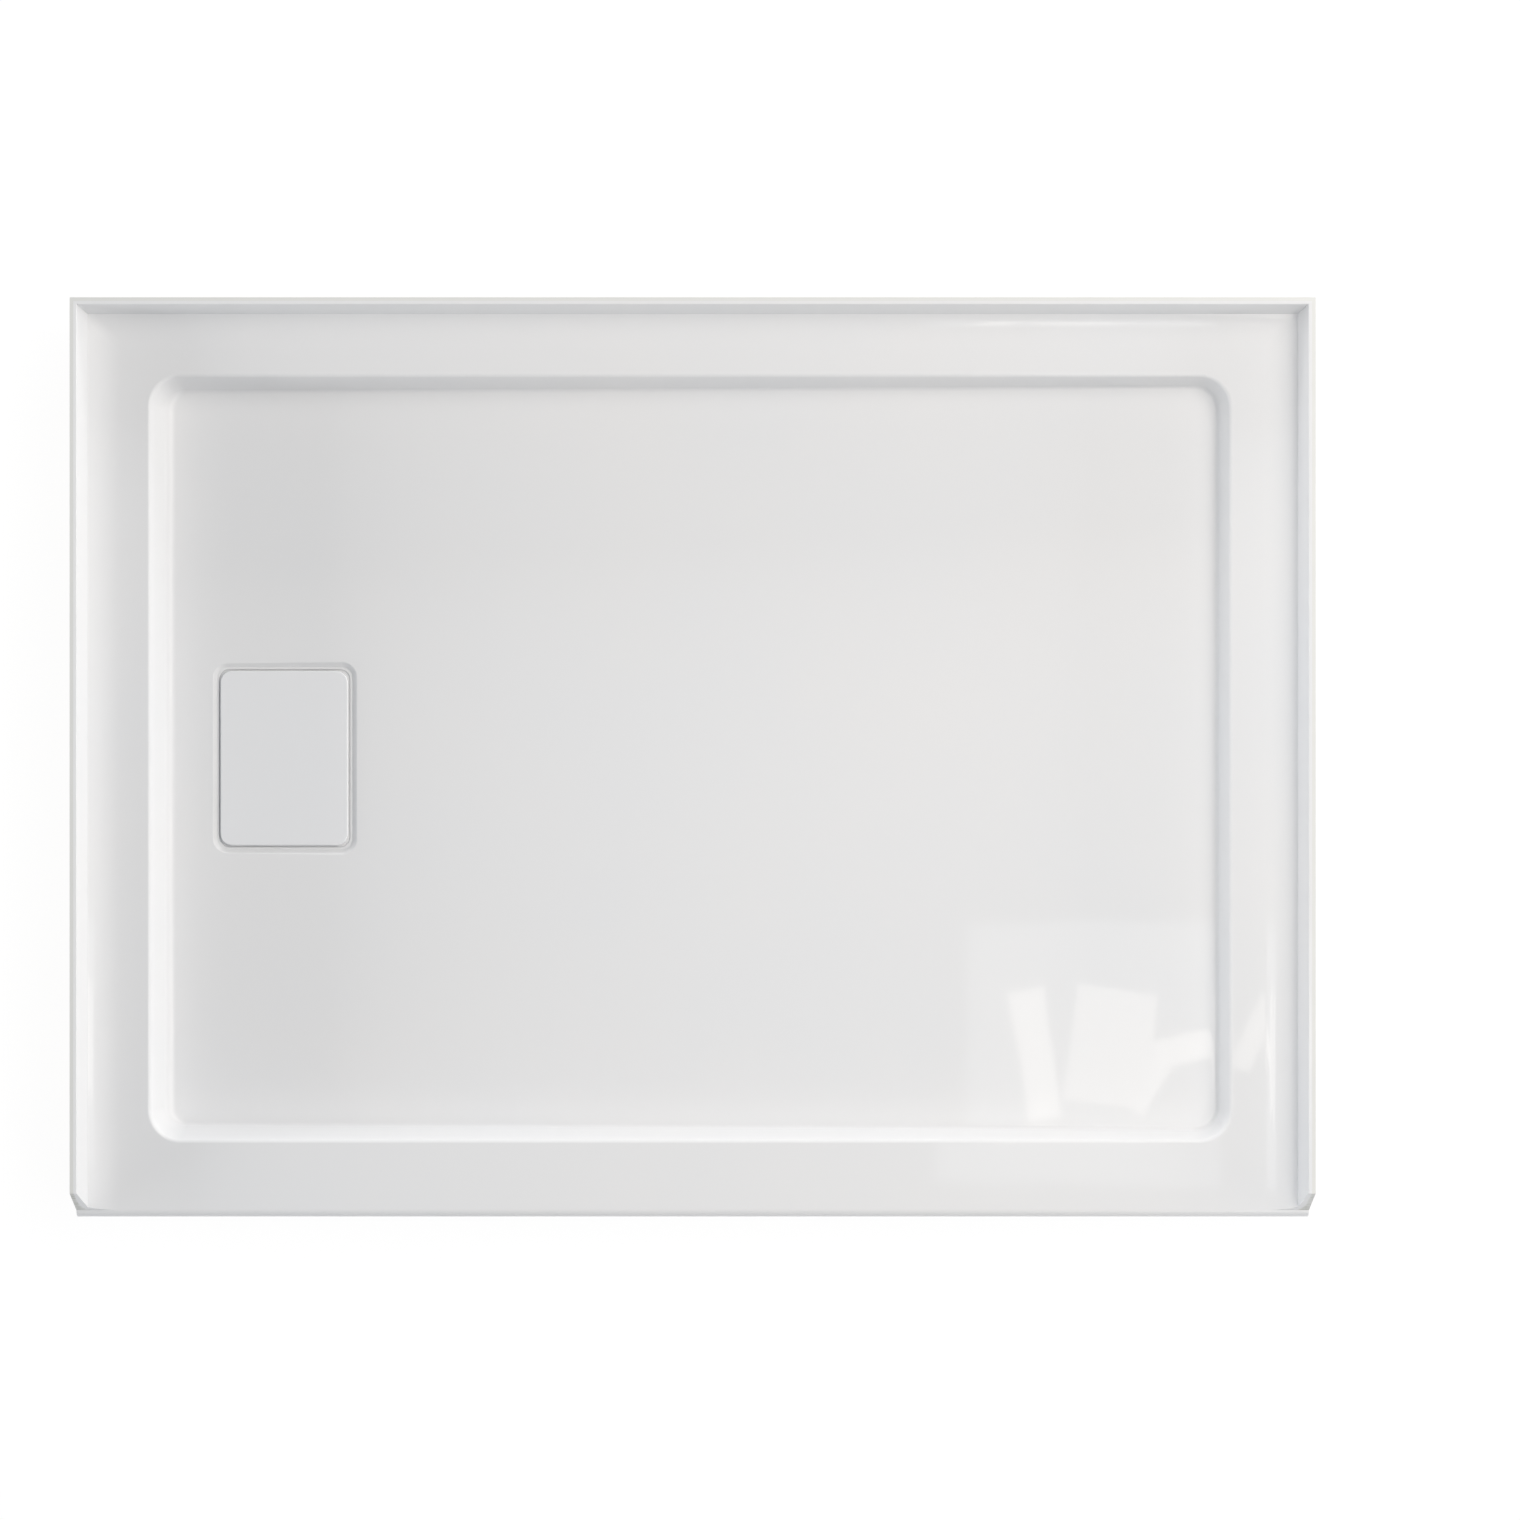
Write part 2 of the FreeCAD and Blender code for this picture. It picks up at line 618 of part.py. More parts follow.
def make_support_block(label, x, y):
    """A timber block under the board, with chamfered corners and its top cut to the fall of the floor."""
    body = new_body(label)
    half = "sizes.block_side / 2"
    top = floor_height(x, BOARD_UNDERSIDE)
    outline = new_sketch(body, "XY_Plane", f"{label}_outline")
    draw_rectangle(outline, f"-{half}", half, f"-{half}", half)
    solid = extrude(body, "Pad", outline, f"{top} + sizes.block_side * {FALL}", f"{label}_block")
    solid = bevel_edges(body, solid, is_upright, "sizes.block_chamfer", f"{label}_corners")

    slant = new_sketch(body, "XZ_Plane", f"{label}_slant_outline")
    reach = "sizes.block_side"
    draw_polygon(
        slant,
        [
            (f"-{reach}", f"{top} - {reach} * {FALL}"),
            (reach, f"{top} + {reach} * {FALL}"),
            (reach, f"{top} + {SPARE}"),
            (f"-{reach}", f"{top} + {SPARE}"),
        ],
    )
    extrude(body, "Pocket", slant, f"2 * {reach}", f"{label}_slant", both_ways=True)
    stand_at(body, x, y)
    return body


def make_support_blocks():
    """Four columns of blocks in three rows, spread over the board; the waste stands where one would be."""
    first = f"({BOARD_LEFT} + sizes.block_from_board_end)"
    pitch = f"(({BOARD_RIGHT} - {BOARD_LEFT} - 2 * sizes.block_from_board_end) / 3)"
    row_reach = f"((({BOARD_BACK}) - ({BOARD_FRONT})) / 2 - sizes.block_from_board_side)"
    blocks = []
    for column in range(4):
        x = f"({first} + {column} * {pitch})"
        for row in (-1, 0, 1):
            y = f"({RECESS_MIDDLE_Y} + {row} * {row_reach})"
            over_waste = abs(value(f"{x} - {WASTE_X}")) < value("sizes.sump_length")
            if row == 0 and over_waste:
                continue
            blocks.append(make_support_block(f"support_block_{len(blocks) + 1}", x, y))
    return blocks


pieces.append(make_floor_board())
pieces += make_rails()
pieces += make_support_blocks()


# The waste fitting. Its pieces are turned about the pipe's axis; heights count from the sump's face.
SHELL_UNDERSIDE = f"(-{LAMINATE_BACK})"
BARREL = "(sizes.barrel_diameter / 2)"
BORE = "(sizes.barrel_diameter / 2 - sizes.barrel_wall)"
PIPE = f"({BORE} - sizes.gasket_room)"
WASTE_FLANGE = f"({BARREL} + sizes.waste_flange_reach)"
LOCKNUT_HUB = f"({BARREL} + sizes.locknut_hub_wall)"
LOCKNUT_RIM = f"({LOCKNUT_HUB} + sizes.locknut_lug_height)"
FLANGE_UNDERSIDE = "sizes.sealing_washer_thickness"
WASTE_TOP = "(sizes.sealing_washer_thickness + sizes.waste_flange_thickness)"
BARREL_FOOT = "(-sizes.barrel_length)"
GASKET_FOOT = f"({BARREL_FOOT} + sizes.pipe_lip_height)"
GASKET_TOP = f"({GASKET_FOOT} + sizes.gasket_height)"
STRAINER_EDGE = f"({BORE} + sizes.strainer_seat_width)"
STRAINER_FOOT = f"({WASTE_TOP} - sizes.strainer_thickness)"


def turned_piece(label, section):
    """A body turned about the waste's axis from half of its section, radius and height pairs."""
    body = new_body(label)
    sketch = new_sketch(body, "XZ_Plane", f"{label}_section")
    draw_polygon(sketch, section)
    revolve(body, sketch, f"{label}_turned")
    stand_at(body, WASTE_X, WASTE_Y, SUMP_FLOOR)
    return body


def ring_section(inside, outside, low, high):
    return [(inside, low), (outside, low), (outside, high), (inside, high)]


def make_drain_body():
    """A flanged barrel: seat for the strainer at the top, bore for the gasket, lip round the pipe."""
    return turned_piece(
        "drain_body",
        [
            (PIPE, BARREL_FOOT),
            (BARREL, BARREL_FOOT),
            (BARREL, FLANGE_UNDERSIDE),
            (WASTE_FLANGE, FLANGE_UNDERSIDE),
            (WASTE_FLANGE, f"{WASTE_TOP} - sizes.waste_flange_bevel"),
            (f"{WASTE_FLANGE} - sizes.waste_flange_bevel", WASTE_TOP),
            (f"{STRAINER_EDGE} + sizes.ring_gap", WASTE_TOP),
            (f"{STRAINER_EDGE} + sizes.ring_gap", STRAINER_FOOT),
            (BORE, STRAINER_FOOT),
            (BORE, GASKET_FOOT),
            (PIPE, GASKET_FOOT),
        ],
    )


def make_locknut():
    """A ring under the laminate with lugs for a spanner."""
    top = f"({SHELL_UNDERSIDE} - sizes.friction_washer_thickness)"
    low = f"({top} - sizes.locknut_height)"
    plate = f"({top} - sizes.locknut_plate)"
    inside = f"({BARREL} + sizes.ring_gap)"
    body = turned_piece(
        "drain_locknut",
        [
            (inside, low),
            (LOCKNUT_HUB, low),
            (LOCKNUT_HUB, plate),
            (LOCKNUT_RIM, plate),
            (LOCKNUT_RIM, top),
            (inside, top),
        ],
    )
    lug = new_sketch(body, "XY_Plane", "locknut_lug_outline", low)
    half = "sizes.locknut_lug_breadth / 2"
    draw_rectangle(lug, f"{LOCKNUT_HUB} - sizes.locknut_lug_height", LOCKNUT_RIM, f"-{half}", half)
    reach = f"{top} - {low}"
    feature = extrude(body, "Pad", lug, reach, "locknut_lug")
    repeat_round(body, feature, "sizes.locknut_lug_count", "locknut_lugs")
    return body


def make_compression_nut():
    """The ring that is screwed down on the gasket from above, with slots for its key."""
    high = f"({GASKET_TOP} + sizes.compression_nut_height)"
    outside = f"({BORE} - sizes.ring_gap)"
    body = turned_piece("compression_nut", ring_section(PIPE, outside, GASKET_TOP, high))
    slot = new_sketch(body, "XY_Plane", "compression_nut_slot_outline", high)
    half = "sizes.compression_nut_slot / 2"
    rim = "sizes.compression_nut_rim"
    draw_rectangle(slot, f"{PIPE} + {rim}", f"{outside} - {rim}", f"-{half}", half)
    feature = extrude(body, "Pocket", slot, "sizes.compression_nut_height / 2", "nut_slot")
    repeat_round(body, feature, "sizes.compression_nut_slot_count", "nut_slots")
    return body


def make_strainer():
    """A pressed disc with a middle hole, two rings of holes and a short skirt that springs into the bore."""
    skirt = f"({BORE} - sizes.ring_gap)"
    wall = "sizes.strainer_thickness"
    body = turned_piece(
        "strainer",
        [
            ("0", STRAINER_FOOT),
            (f"{skirt} - {wall}", STRAINER_FOOT),
            (f"{skirt} - {wall}", f"{STRAINER_FOOT} - sizes.strainer_skirt_depth"),
            (skirt, f"{STRAINER_FOOT} - sizes.strainer_skirt_depth"),
            (skirt, STRAINER_FOOT),
            (STRAINER_EDGE, STRAINER_FOOT),
            (STRAINER_EDGE, WASTE_TOP),
            ("0", WASTE_TOP),
        ],
    )
    for ring in (1, 2):
        hole = new_sketch(body, "XY_Plane", f"strainer_ring_{ring}_outline", WASTE_TOP)
        distance = f"{ring} * sizes.strainer_ring_pitch"
        draw_circle(hole, distance, "0", "sizes.strainer_hole_diameter")
        feature = extrude(body, "Pocket", hole, wall, f"strainer_ring_{ring}_hole")
        repeat_round(body, feature, f"{ring} * sizes.strainer_inner_hole_count", f"strainer_ring_{ring}")
    centre = new_sketch(body, "XY_Plane", "strainer_centre_outline", WASTE_TOP)
    draw_circle(centre, "0", "0", "sizes.strainer_hole_diameter")
    extrude(body, "Pocket", centre, wall, "strainer_centre_hole")
    return body


pieces.append(make_drain_body())
pieces.append(
    turned_piece(
        "drain_sealing_washer",
        ring_section(
            f"{BARREL} + sizes.ring_gap",
            f"{WASTE_FLANGE} - sizes.waste_flange_bevel",
            "0",
            FLANGE_UNDERSIDE,
        ),
    )
)
pieces.append(
    turned_piece(
        "drain_friction_washer",
        ring_section(
            f"{BARREL} + sizes.barrel_hole_gap",
            LOCKNUT_RIM,
            f"{SHELL_UNDERSIDE} - sizes.friction_washer_thickness",
            SHELL_UNDERSIDE,
        ),
    )
)
pieces.append(make_locknut())
pieces.append(
    turned_piece(
        "pipe_gasket",
        ring_section(
            PIPE, f"{BORE} - sizes.ring_gap", GASKET_FOOT, GASKET_TOP
        ),
    )
)
pieces.append(make_compression_nut())
pieces.append(make_strainer())


# The lift-off cover over the sump, its top a little above the floor. Its heights count from the sump's face.
COVER_TOP = "(sizes.sump_depth + sizes.cover_proud)"
PLATE_UNDERSIDE = f"({COVER_TOP} - sizes.cover_plate_thickness)"
SKIRT_FOOT = f"({COVER_TOP} - sizes.cover_skirt_depth)"
SKIRT_INSET = "(sizes.cover_overlap + sizes.cover_skirt_gap)"
BOSS_FOOT = "sizes.cover_foot_thickness"
COVER_X = "(sizes.sump_length / 2 + sizes.cover_overlap)"
COVER_Y = "(sizes.sump_breadth / 2 + sizes.cover_overlap)"
BOSS_X = f"({COVER_X} - sizes.cover_boss_inset_x)"
BOSS_Y = f"({COVER_Y} - sizes.cover_boss_inset_y)"


def cover_outline(sketch, inset):
    draw_rounded_rectangle(
        sketch,
        f"-{COVER_X} + {inset}",
        f"{COVER_X} - {inset}",
        f"-{COVER_Y} + {inset}",
        f"{COVER_Y} - {inset}",
        f"sizes.sump_corner_radius + sizes.cover_overlap - {inset}",
    )


def make_cover():
    """A moulded plate; under it a skirt that drops into the sump, ribs and a boss near each corner."""
    body = new_body("drain_cover")
    outline = new_sketch(body, "XY_Plane", "cover_outline", PLATE_UNDERSIDE)
    cover_outline(outline, "0")
    solid = extrude(body, "Pad", outline, "sizes.cover_plate_thickness", "cover_plate")

    def is_top(edge):
        return at_height(edge, value(COVER_TOP))

    round_edges(body, solid, is_top, "sizes.cover_edge_round", "cover_edge")
    skirt = new_sketch(body, "XY_Plane", "cover_skirt_outline", SKIRT_FOOT)
    cover_outline(skirt, SKIRT_INSET)
    cover_outline(skirt, f"({SKIRT_INSET} + sizes.cover_skirt_wall)")
    depth = "sizes.cover_skirt_depth - sizes.cover_plate_thickness"
    extrude(body, "Pad", skirt, depth, "cover_skirt")

    ribs = new_sketch(body, "XY_Plane", "cover_ribs_outline", SKIRT_FOOT)
    half = "sizes.cover_rib_thickness / 2"
    end = f"{COVER_X} - {SKIRT_INSET} - sizes.cover_skirt_wall / 2"
    for place in (-1.5, -0.5, 0.5, 1.5):
        middle = f"{place} * sizes.cover_rib_pitch"
        draw_rectangle(ribs, f"-({end})", end, f"{middle} - {half}", f"{middle} + {half}")
    extrude(body, "Pad", ribs, depth, "cover_ribs")

    bosses = new_sketch(body, "XY_Plane", "cover_bosses_outline", BOSS_FOOT)
    for x, y in corner_signs():
        draw_circle(bosses, f"{x} * {BOSS_X}", f"{y} * {BOSS_Y}", "sizes.cover_boss_diameter")
    extrude(body, "Pad", bosses, f"{PLATE_UNDERSIDE} - {BOSS_FOOT}", "cover_bosses")

    sockets = new_sketch(body, "XY_Plane", "cover_sockets_outline", BOSS_FOOT)
    bore = "sizes.cover_foot_plug_diameter"
    for x, y in corner_signs():
        draw_circle(sockets, f"{x} * {BOSS_X}", f"{y} * {BOSS_Y}", bore)
    extrude(body, "Pocket", sockets, "sizes.cover_foot_plug_length", "cover_sockets", reverse=True)
    stand_at(body, WASTE_X, WASTE_Y, SUMP_FLOOR)
    return body


def corner_signs():
    return [(-1, -1), (1, -1), (1, 1), (-1, 1)]


def make_cover_foot(label, x_side, y_side):
    """A rubber button whose plug is pushed into the cover's boss."""
    body = new_body(label)
    rim = "sizes.cover_foot_diameter / 2"
    plug = "sizes.cover_foot_plug_diameter / 2"
    section = new_sketch(body, "XZ_Plane", f"{label}_section")
    draw_polygon(
        section,
        [
            ("0", "0"),
            (f"{rim} - sizes.cover_foot_bevel", "0"),
            (rim, "sizes.cover_foot_bevel"),
            (rim, BOSS_FOOT),
            (plug, BOSS_FOOT),
            (plug, f"{BOSS_FOOT} + sizes.cover_foot_plug_length"),
            ("0", f"{BOSS_FOOT} + sizes.cover_foot_plug_length"),
        ],
    )
    revolve(body, section, f"{label}_turned")
    stand_at(body, f"{WASTE_X} + {x_side} * {BOSS_X}", f"{WASTE_Y} + {y_side} * {BOSS_Y}", SUMP_FLOOR)
    return body


pieces.append(make_cover())
for number, (x_side, y_side) in enumerate(corner_signs(), start=1):
    pieces.append(make_cover_foot(f"cover_foot_{number}", x_side, y_side))


doc.recompute()
for thing in doc.Objects:
    if "Invalid" in thing.State or "Error" in thing.State:
        raise RuntimeError(f"{thing.Label} failed: {thing.State}")
for piece in pieces:
    if piece.Shape.isNull() or not piece.Shape.isValid():
        raise RuntimeError(f"{piece.Label} has no valid shape")

os.makedirs("parts", exist_ok=True)
for piece in pieces:
    piece.Shape.exportStep(f"parts/{piece.Label}.step")
    print(f"{piece.Label}: {len(piece.Shape.Solids)} solid, {piece.Shape.Volume / 1000:.1f} cm3")
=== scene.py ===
import math

import bmesh
import bpy
import numpy as np
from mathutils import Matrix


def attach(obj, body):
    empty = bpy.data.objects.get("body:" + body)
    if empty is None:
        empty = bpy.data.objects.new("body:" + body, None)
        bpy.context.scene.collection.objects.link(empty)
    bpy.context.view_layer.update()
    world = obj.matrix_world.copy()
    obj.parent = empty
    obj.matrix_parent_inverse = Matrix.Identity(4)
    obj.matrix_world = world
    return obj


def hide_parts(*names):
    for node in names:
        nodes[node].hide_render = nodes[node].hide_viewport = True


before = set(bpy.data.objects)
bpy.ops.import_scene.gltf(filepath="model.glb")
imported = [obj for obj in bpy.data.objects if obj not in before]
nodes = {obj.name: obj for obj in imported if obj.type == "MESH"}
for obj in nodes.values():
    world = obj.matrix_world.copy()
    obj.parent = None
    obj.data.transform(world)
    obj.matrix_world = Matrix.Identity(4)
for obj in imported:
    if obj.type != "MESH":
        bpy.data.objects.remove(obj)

# Shower tray seen from straight above on a white ground. Lengths in the surface code are millimetres in the
# CAD frame and become metres in add_piece. Lamps, camera and materials are in metres.

bpy.context.view_layer.update()
scene = bpy.context.scene
MM = 1000.0  # millimetres in a metre

# ---------------------------------------------------------------- sizes that the CAD part has
HALF_WIDTH, HALF_DEPTH = 610.0, 453.0
DECK, FLANGE_TOP = 100.0, 130.0
ACRYLIC, LAMINATE_WALL = 3.2, 3.6
FLANGE_FACE = HALF_WIDTH - ACRYLIC - LAMINATE_WALL  # |x| of the flange's inner face at its top edge
SIDE_TO_BACK = HALF_WIDTH - HALF_DEPTH  # how much nearer the middle the back flange stands than the side ones
FLANGE_DRAFT = math.radians(3.0)
FLANGE_COVE = 14.0
NOSE = 7.5  # radius of the threshold's front edge
NOSE_Y = -HALF_DEPTH + NOSE  # where that edge starts, and the flange's front ends with it
SLANT = 21.0 / 30.0  # run over rise of the flange's front ends
RIM_LEFT, RIM_RIGHT, RIM_FRONT, RIM_BACK = 73.2, 78.2, 76.7, 73.2  # from the tray's sides to the recess
# boxes are (left, right, front, back)
RECESS = (-HALF_WIDTH + RIM_LEFT, HALF_WIDTH - RIM_RIGHT, -HALF_DEPTH + RIM_FRONT, HALF_DEPTH - RIM_BACK)
RECESS_CORNER, RECESS_DRAFT = 30.0, math.radians(15.5)
STEP_AT_WASTE, STEP_FAR_END = 37.0, 25.0  # how deep the step is at the recess's left and right ends
FLOOR_AT_LEFT = DECK - STEP_AT_WASTE
FALL = (STEP_AT_WASTE - STEP_FAR_END) / (RECESS[1] - RECESS[0])
WASTE = (-HALF_WIDTH + 200.4, (RECESS[2] + RECESS[3]) / 2)
BARREL, BARREL_ROOM = 80.0, 2.0
WASTE_HOLE = BARREL / 2 + BARREL_ROOM
FLOOR_AT_WASTE = FLOOR_AT_LEFT + (WASTE[0] - RECESS[0]) * FALL
SUMP_LENGTH, SUMP_BREADTH, SUMP_DEPTH = 120.0, 167.0, 16.0
SUMP = (
    WASTE[0] - SUMP_LENGTH / 2,
    WASTE[0] + SUMP_LENGTH / 2,
    WASTE[1] - SUMP_BREADTH / 2,
    WASTE[1] + SUMP_BREADTH / 2,
)
SUMP_FLOOR = FLOOR_AT_WASTE - SUMP_DEPTH
SUMP_CORNER, SUMP_DRAFT = 8.0, math.radians(3.0)
SUMP_RIM, SUMP_COVE = 2.0, 5.0
COVER_OVERLAP, COVER_GAP = 4.0, 8.2
COVER_REACH = COVER_OVERLAP + COVER_GAP  # from the sump's outline to the outline of the cover's recess
COVER_DEPTH = 3.6
COVER_LEDGE = FLOOR_AT_WASTE - COVER_DEPTH
COVER_CORNER, COVER_SLOPE = 15.0, math.radians(50.0)

# ---------------------------------------------------------------- what the visible face has of its own
RIM_ROUND = 4.0
LEFT_COVE, OTHER_COVE = 11.0, 4.5  # the step's foot is rounder at the left end
COVER_RIM, COVER_COVE = 2.0, 1.5
# the groove in the ledge under the cover's edge: share of the ledge's width from outside, and how far down
GROOVE = ((0.26, 0.0), (0.4, 1.8), (0.68, 1.8), (0.8, 0.0))
CREASE_X = 597.6  # where the deck's rise meets the flange's wall
RISE_X, RISE_ANGLE = 567.5, math.radians(21.0)
RISE_RADIUS = (CREASE_X - RISE_X) / math.sin(RISE_ANGLE)
TOP_ROUND = 0.7
DECK_CORNER = 36.0  # length of the mitred corners of the deck's outer loop

# ---------------------------------------------------------------- how finely it is drawn
CLEAR = 2.0  # how far above a face the outline of the cut below it is measured
LEAST_ROUND = 0.5
SHARP_EDGE = math.radians(32)
JOIN_WITHIN, SHORTEST_EDGE = 2e-6, 1e-7  # metres
DECK_SHARES = (0, 0.03, 0.15, 0.4, 0.7, 0.92, 0.985, 1)
FLOOR_SHARES = (0, 0.006, 0.03, 0.1, 0.25, 0.45, 0.65, 0.82, 0.93, 0.98, 1)
BASIN_SHARES = (0, 0.05, 0.4, 0.8, 1)
WALL_SHARES = (0.05, 0.35, 0.7, 1)  # of the flange's wall, from the crease to the round at its top
LAST_STRIP = 8.0  # height of the last strip up the flange's back
APRON_HEIGHTS = (91.5, 88.0, 70.0, 45.0, 20.0, 3.0, 0.0)
ARC = 16  # steps round each corner, even so that one lands on the mitre
FRONT_STEPS, SIDE_STEPS = 14, 10

# ---------------------------------------------------------------- loops round the tray


def loop_stations():
    """Stations of a loop anticlockwise from the front-left corner.

    Each station has an outward angle and a place between two corners. On a corner's arc both are that corner
    and the angle turns by 90 degrees. On a side the angle stays and the share runs from 0 to 1.
    """
    rows = []
    for corner in range(4):
        following = (corner + 1) % 4
        start = math.pi + corner * math.pi / 2
        rows += [(corner, corner, 0.0, start + math.pi / 2 * i / ARC) for i in range(ARC + 1)]
        steps = FRONT_STEPS if corner % 2 == 0 else SIDE_STEPS
        rows += [(corner, following, i / steps, start + math.pi / 2) for i in range(1, steps)]
    rows.append((0, 0, 0.0, math.pi))
    return [np.array(column) for column in zip(*rows)]


FROM, TO, SHARE, ANGLE = loop_stations()
OUTWARD = np.stack([np.cos(ANGLE), np.sin(ANGLE)], axis=1)
STATIONS = len(ANGLE)
FRONT_LEFT = ARC // 2
FRONT_RIGHT = ARC + FRONT_STEPS + ARC // 2
BACK_RIGHT = FRONT_RIGHT + ARC + SIDE_STEPS
BACK_LEFT = BACK_RIGHT + ARC + FRONT_STEPS


def loop(box, radius, mitred=False):
    """A rounded rectangle: corner centres joined by straight lines, plus the radius along the outward angle.

    A mitred loop divides that direction by its larger part, so the arcs become the square's own corners.
    """
    left, right, front, back = box
    x = np.array([left + radius, right - radius, right - radius, left + radius])
    y = np.array([front + radius, front + radius, back - radius, back - radius])
    share = SHARE[:, None]
    centres = np.stack([x, y], axis=1)
    centre = centres[FROM.astype(int)] * (1 - share) + centres[TO.astype(int)] * share
    direction = OUTWARD / np.abs(OUTWARD).max(axis=1, keepdims=True) if mitred else OUTWARD
    return centre + radius * direction


def flat(points, height):
    """Plan points lifted to a height, one number or one per point."""
    return np.column_stack([points, np.broadcast_to(height, len(points))])


def floor_height(x, depth):
    """The floor's plane: it falls to the left, and depth is measured square to it."""
    return FLOOR_AT_LEFT + (x - RECESS[0]) * FALL - depth * math.hypot(1, FALL)


def between(first, last, shares):
    """Loops drawn straight between two loops, one for each share."""
    t = np.array(shares)[:, None, None]
    return first[None] * (1 - t) + last[None] * t


def step_profile(base, high, low, top, draft, grown, rim, cove, counts):
    """A drafted step between two planes, carried round the loop base.

    high and low are (height at the base loop, slope inwards) of the planes. In each section the wall is the
    line s = (top - z) tan(draft) - grown, with s measured inwards from the base loop. The rim's circle touches
    the wall and the high plane from inside the material. The cove's circle touches the wall and the low plane
    from above. Both centres are where the two distances equal the radius. counts are the steps of the rim, the
    wall and the cove.
    """
    c, n = math.cos(draft), math.sin(draft)
    (z_high, m_high), (z_low, m_low) = high, low
    k_high, k_low = np.hypot(1, m_high), np.hypot(1, m_low)
    s_rim = -(rim + grown * c + (z_high - rim * k_high - top) * n) / (c + m_high * n)
    z_rim = z_high + m_high * s_rim - rim * k_high
    s_cove = (cove - grown * c - (z_low + cove * k_low - top) * n) / (c + m_low * n)
    z_cove = z_low + m_low * s_cove + cove * k_low
    rim_steps, wall_steps, cove_steps = counts
    wall_angle = math.atan2(n, c)
    start = np.arctan2(np.ones(STATIONS), -m_high * np.ones(STATIONS))
    rings = []
    for t in np.linspace(0, 1, rim_steps + 1):
        a = start * (1 - t) + wall_angle * t
        rings.append((s_rim + rim * np.cos(a), z_rim + rim * np.sin(a)))
    s0, z0 = rings[-1]
    s1, z1 = s_cove - cove * c, z_cove - cove * n
    for t in np.linspace(0, 1, wall_steps + 1)[1:-1]:
        rings.append((s0 * (1 - t) + s1 * t, z0 * (1 - t) + z1 * t))
    first = wall_angle + math.pi
    last = np.arctan2(-np.ones(STATIONS), m_low * np.ones(STATIONS)) + 2 * math.pi
    for t in np.linspace(0, 1, cove_steps + 1):
        a = first * (1 - t) + last * t
        rings.append((s_cove + cove * np.cos(a), z_cove + cove * np.sin(a)))
    return np.array([flat(base - s[:, None] * OUTWARD, z) for s, z in rings])


MEET = math.acos(FLANGE_COVE / (FLANGE_COVE + ACRYLIC))  # where the back of the cove reaches deck height
MEET_ROW = 4
COVE_ANGLES = np.concatenate([
    np.linspace(0, MEET, MEET_ROW + 1),
    np.linspace(MEET, math.pi / 2 - FLANGE_DRAFT, 8)[1:],
])
COVE_RISE = FLANGE_TOP - DECK - FLANGE_COVE
COVE_X = FLANGE_FACE - (FLANGE_COVE + COVE_RISE * math.sin(FLANGE_DRAFT)) / math.cos(FLANGE_DRAFT)


def flange_face():
    """(|x|, z) up the side flange's visible face: an arc that lifts the deck, a crease, a wall, a round."""
    angles = np.linspace(0, RISE_ANGLE, 9)
    rows = [(RISE_X + RISE_RADIUS * math.sin(a), DECK + RISE_RADIUS * (1 - math.cos(a))) for a in angles]
    x_crease, z_crease = rows[-1]
    z_wall = FLANGE_TOP - TOP_ROUND
    for t in WALL_SHARES:
        rows.append((x_crease + (FLANGE_FACE - x_crease) * t, z_crease + (z_wall - z_crease) * t))
    for a in np.radians((30, 60, 90)):
        rows.append((FLANGE_FACE + TOP_ROUND * (1 - math.cos(a)), z_wall + TOP_ROUND * math.sin(a)))
    return rows


def flange_back(depth):
    """(|x|, z) up the flange's back: the cove's arc, then the drafted wall."""
    radius = FLANGE_COVE + depth
    z_centre = DECK + FLANGE_COVE
    rows = [(COVE_X + radius * math.sin(a), z_centre - radius * math.cos(a)) for a in COVE_ANGLES]
    x_foot, z_foot = rows[-1]
    for z in (FLANGE_TOP - LAST_STRIP, FLANGE_TOP):
        rows.append((x_foot + (z - z_foot) * math.tan(FLANGE_DRAFT), z))
    return rows


def flange_sheet(outer, profile):
    """The flange's profile carried along right, back and left of the deck's outer loop, mitred at the corners.

    At each height the loop is stretched so that its back reaches the mitre and its front ends lie on the slant.
    """
    path = np.concatenate([outer[FRONT_RIGHT:-1], outer[:FRONT_LEFT + 1]])[:, :2]
    index = np.arange(len(path))
    on_right = index <= BACK_RIGHT - FRONT_RIGHT
    on_left = index >= BACK_LEFT - FRONT_RIGHT
    foot = profile[0][0]
    foot_back = foot - SIDE_TO_BACK
    rows = []
    for a, z in profile:
        b = a - SIDE_TO_BACK
        end = NOSE_Y + SLANT * max(z - DECK, 0)
        along = end + (path[:, 1] - NOSE_Y) * (b - end) / (foot_back - NOSE_Y)
        x = np.where(on_right, a, np.where(on_left, -a, path[:, 0] * a / foot))
        y = np.where(on_right | on_left, along, b)
        rows.append(np.column_stack([x, y, np.full(len(path), z)]))
    return np.array(rows)


# |x| of the front sheet's stations under the flange: the cove's foot, where its back meets the deck's height,
# one between, and the tray's side
NOSE_ENDS = [COVE_X, COVE_X + math.sqrt((FLANGE_COVE + ACRYLIC) ** 2 - FLANGE_COVE ** 2), 604.0, HALF_WIDTH]


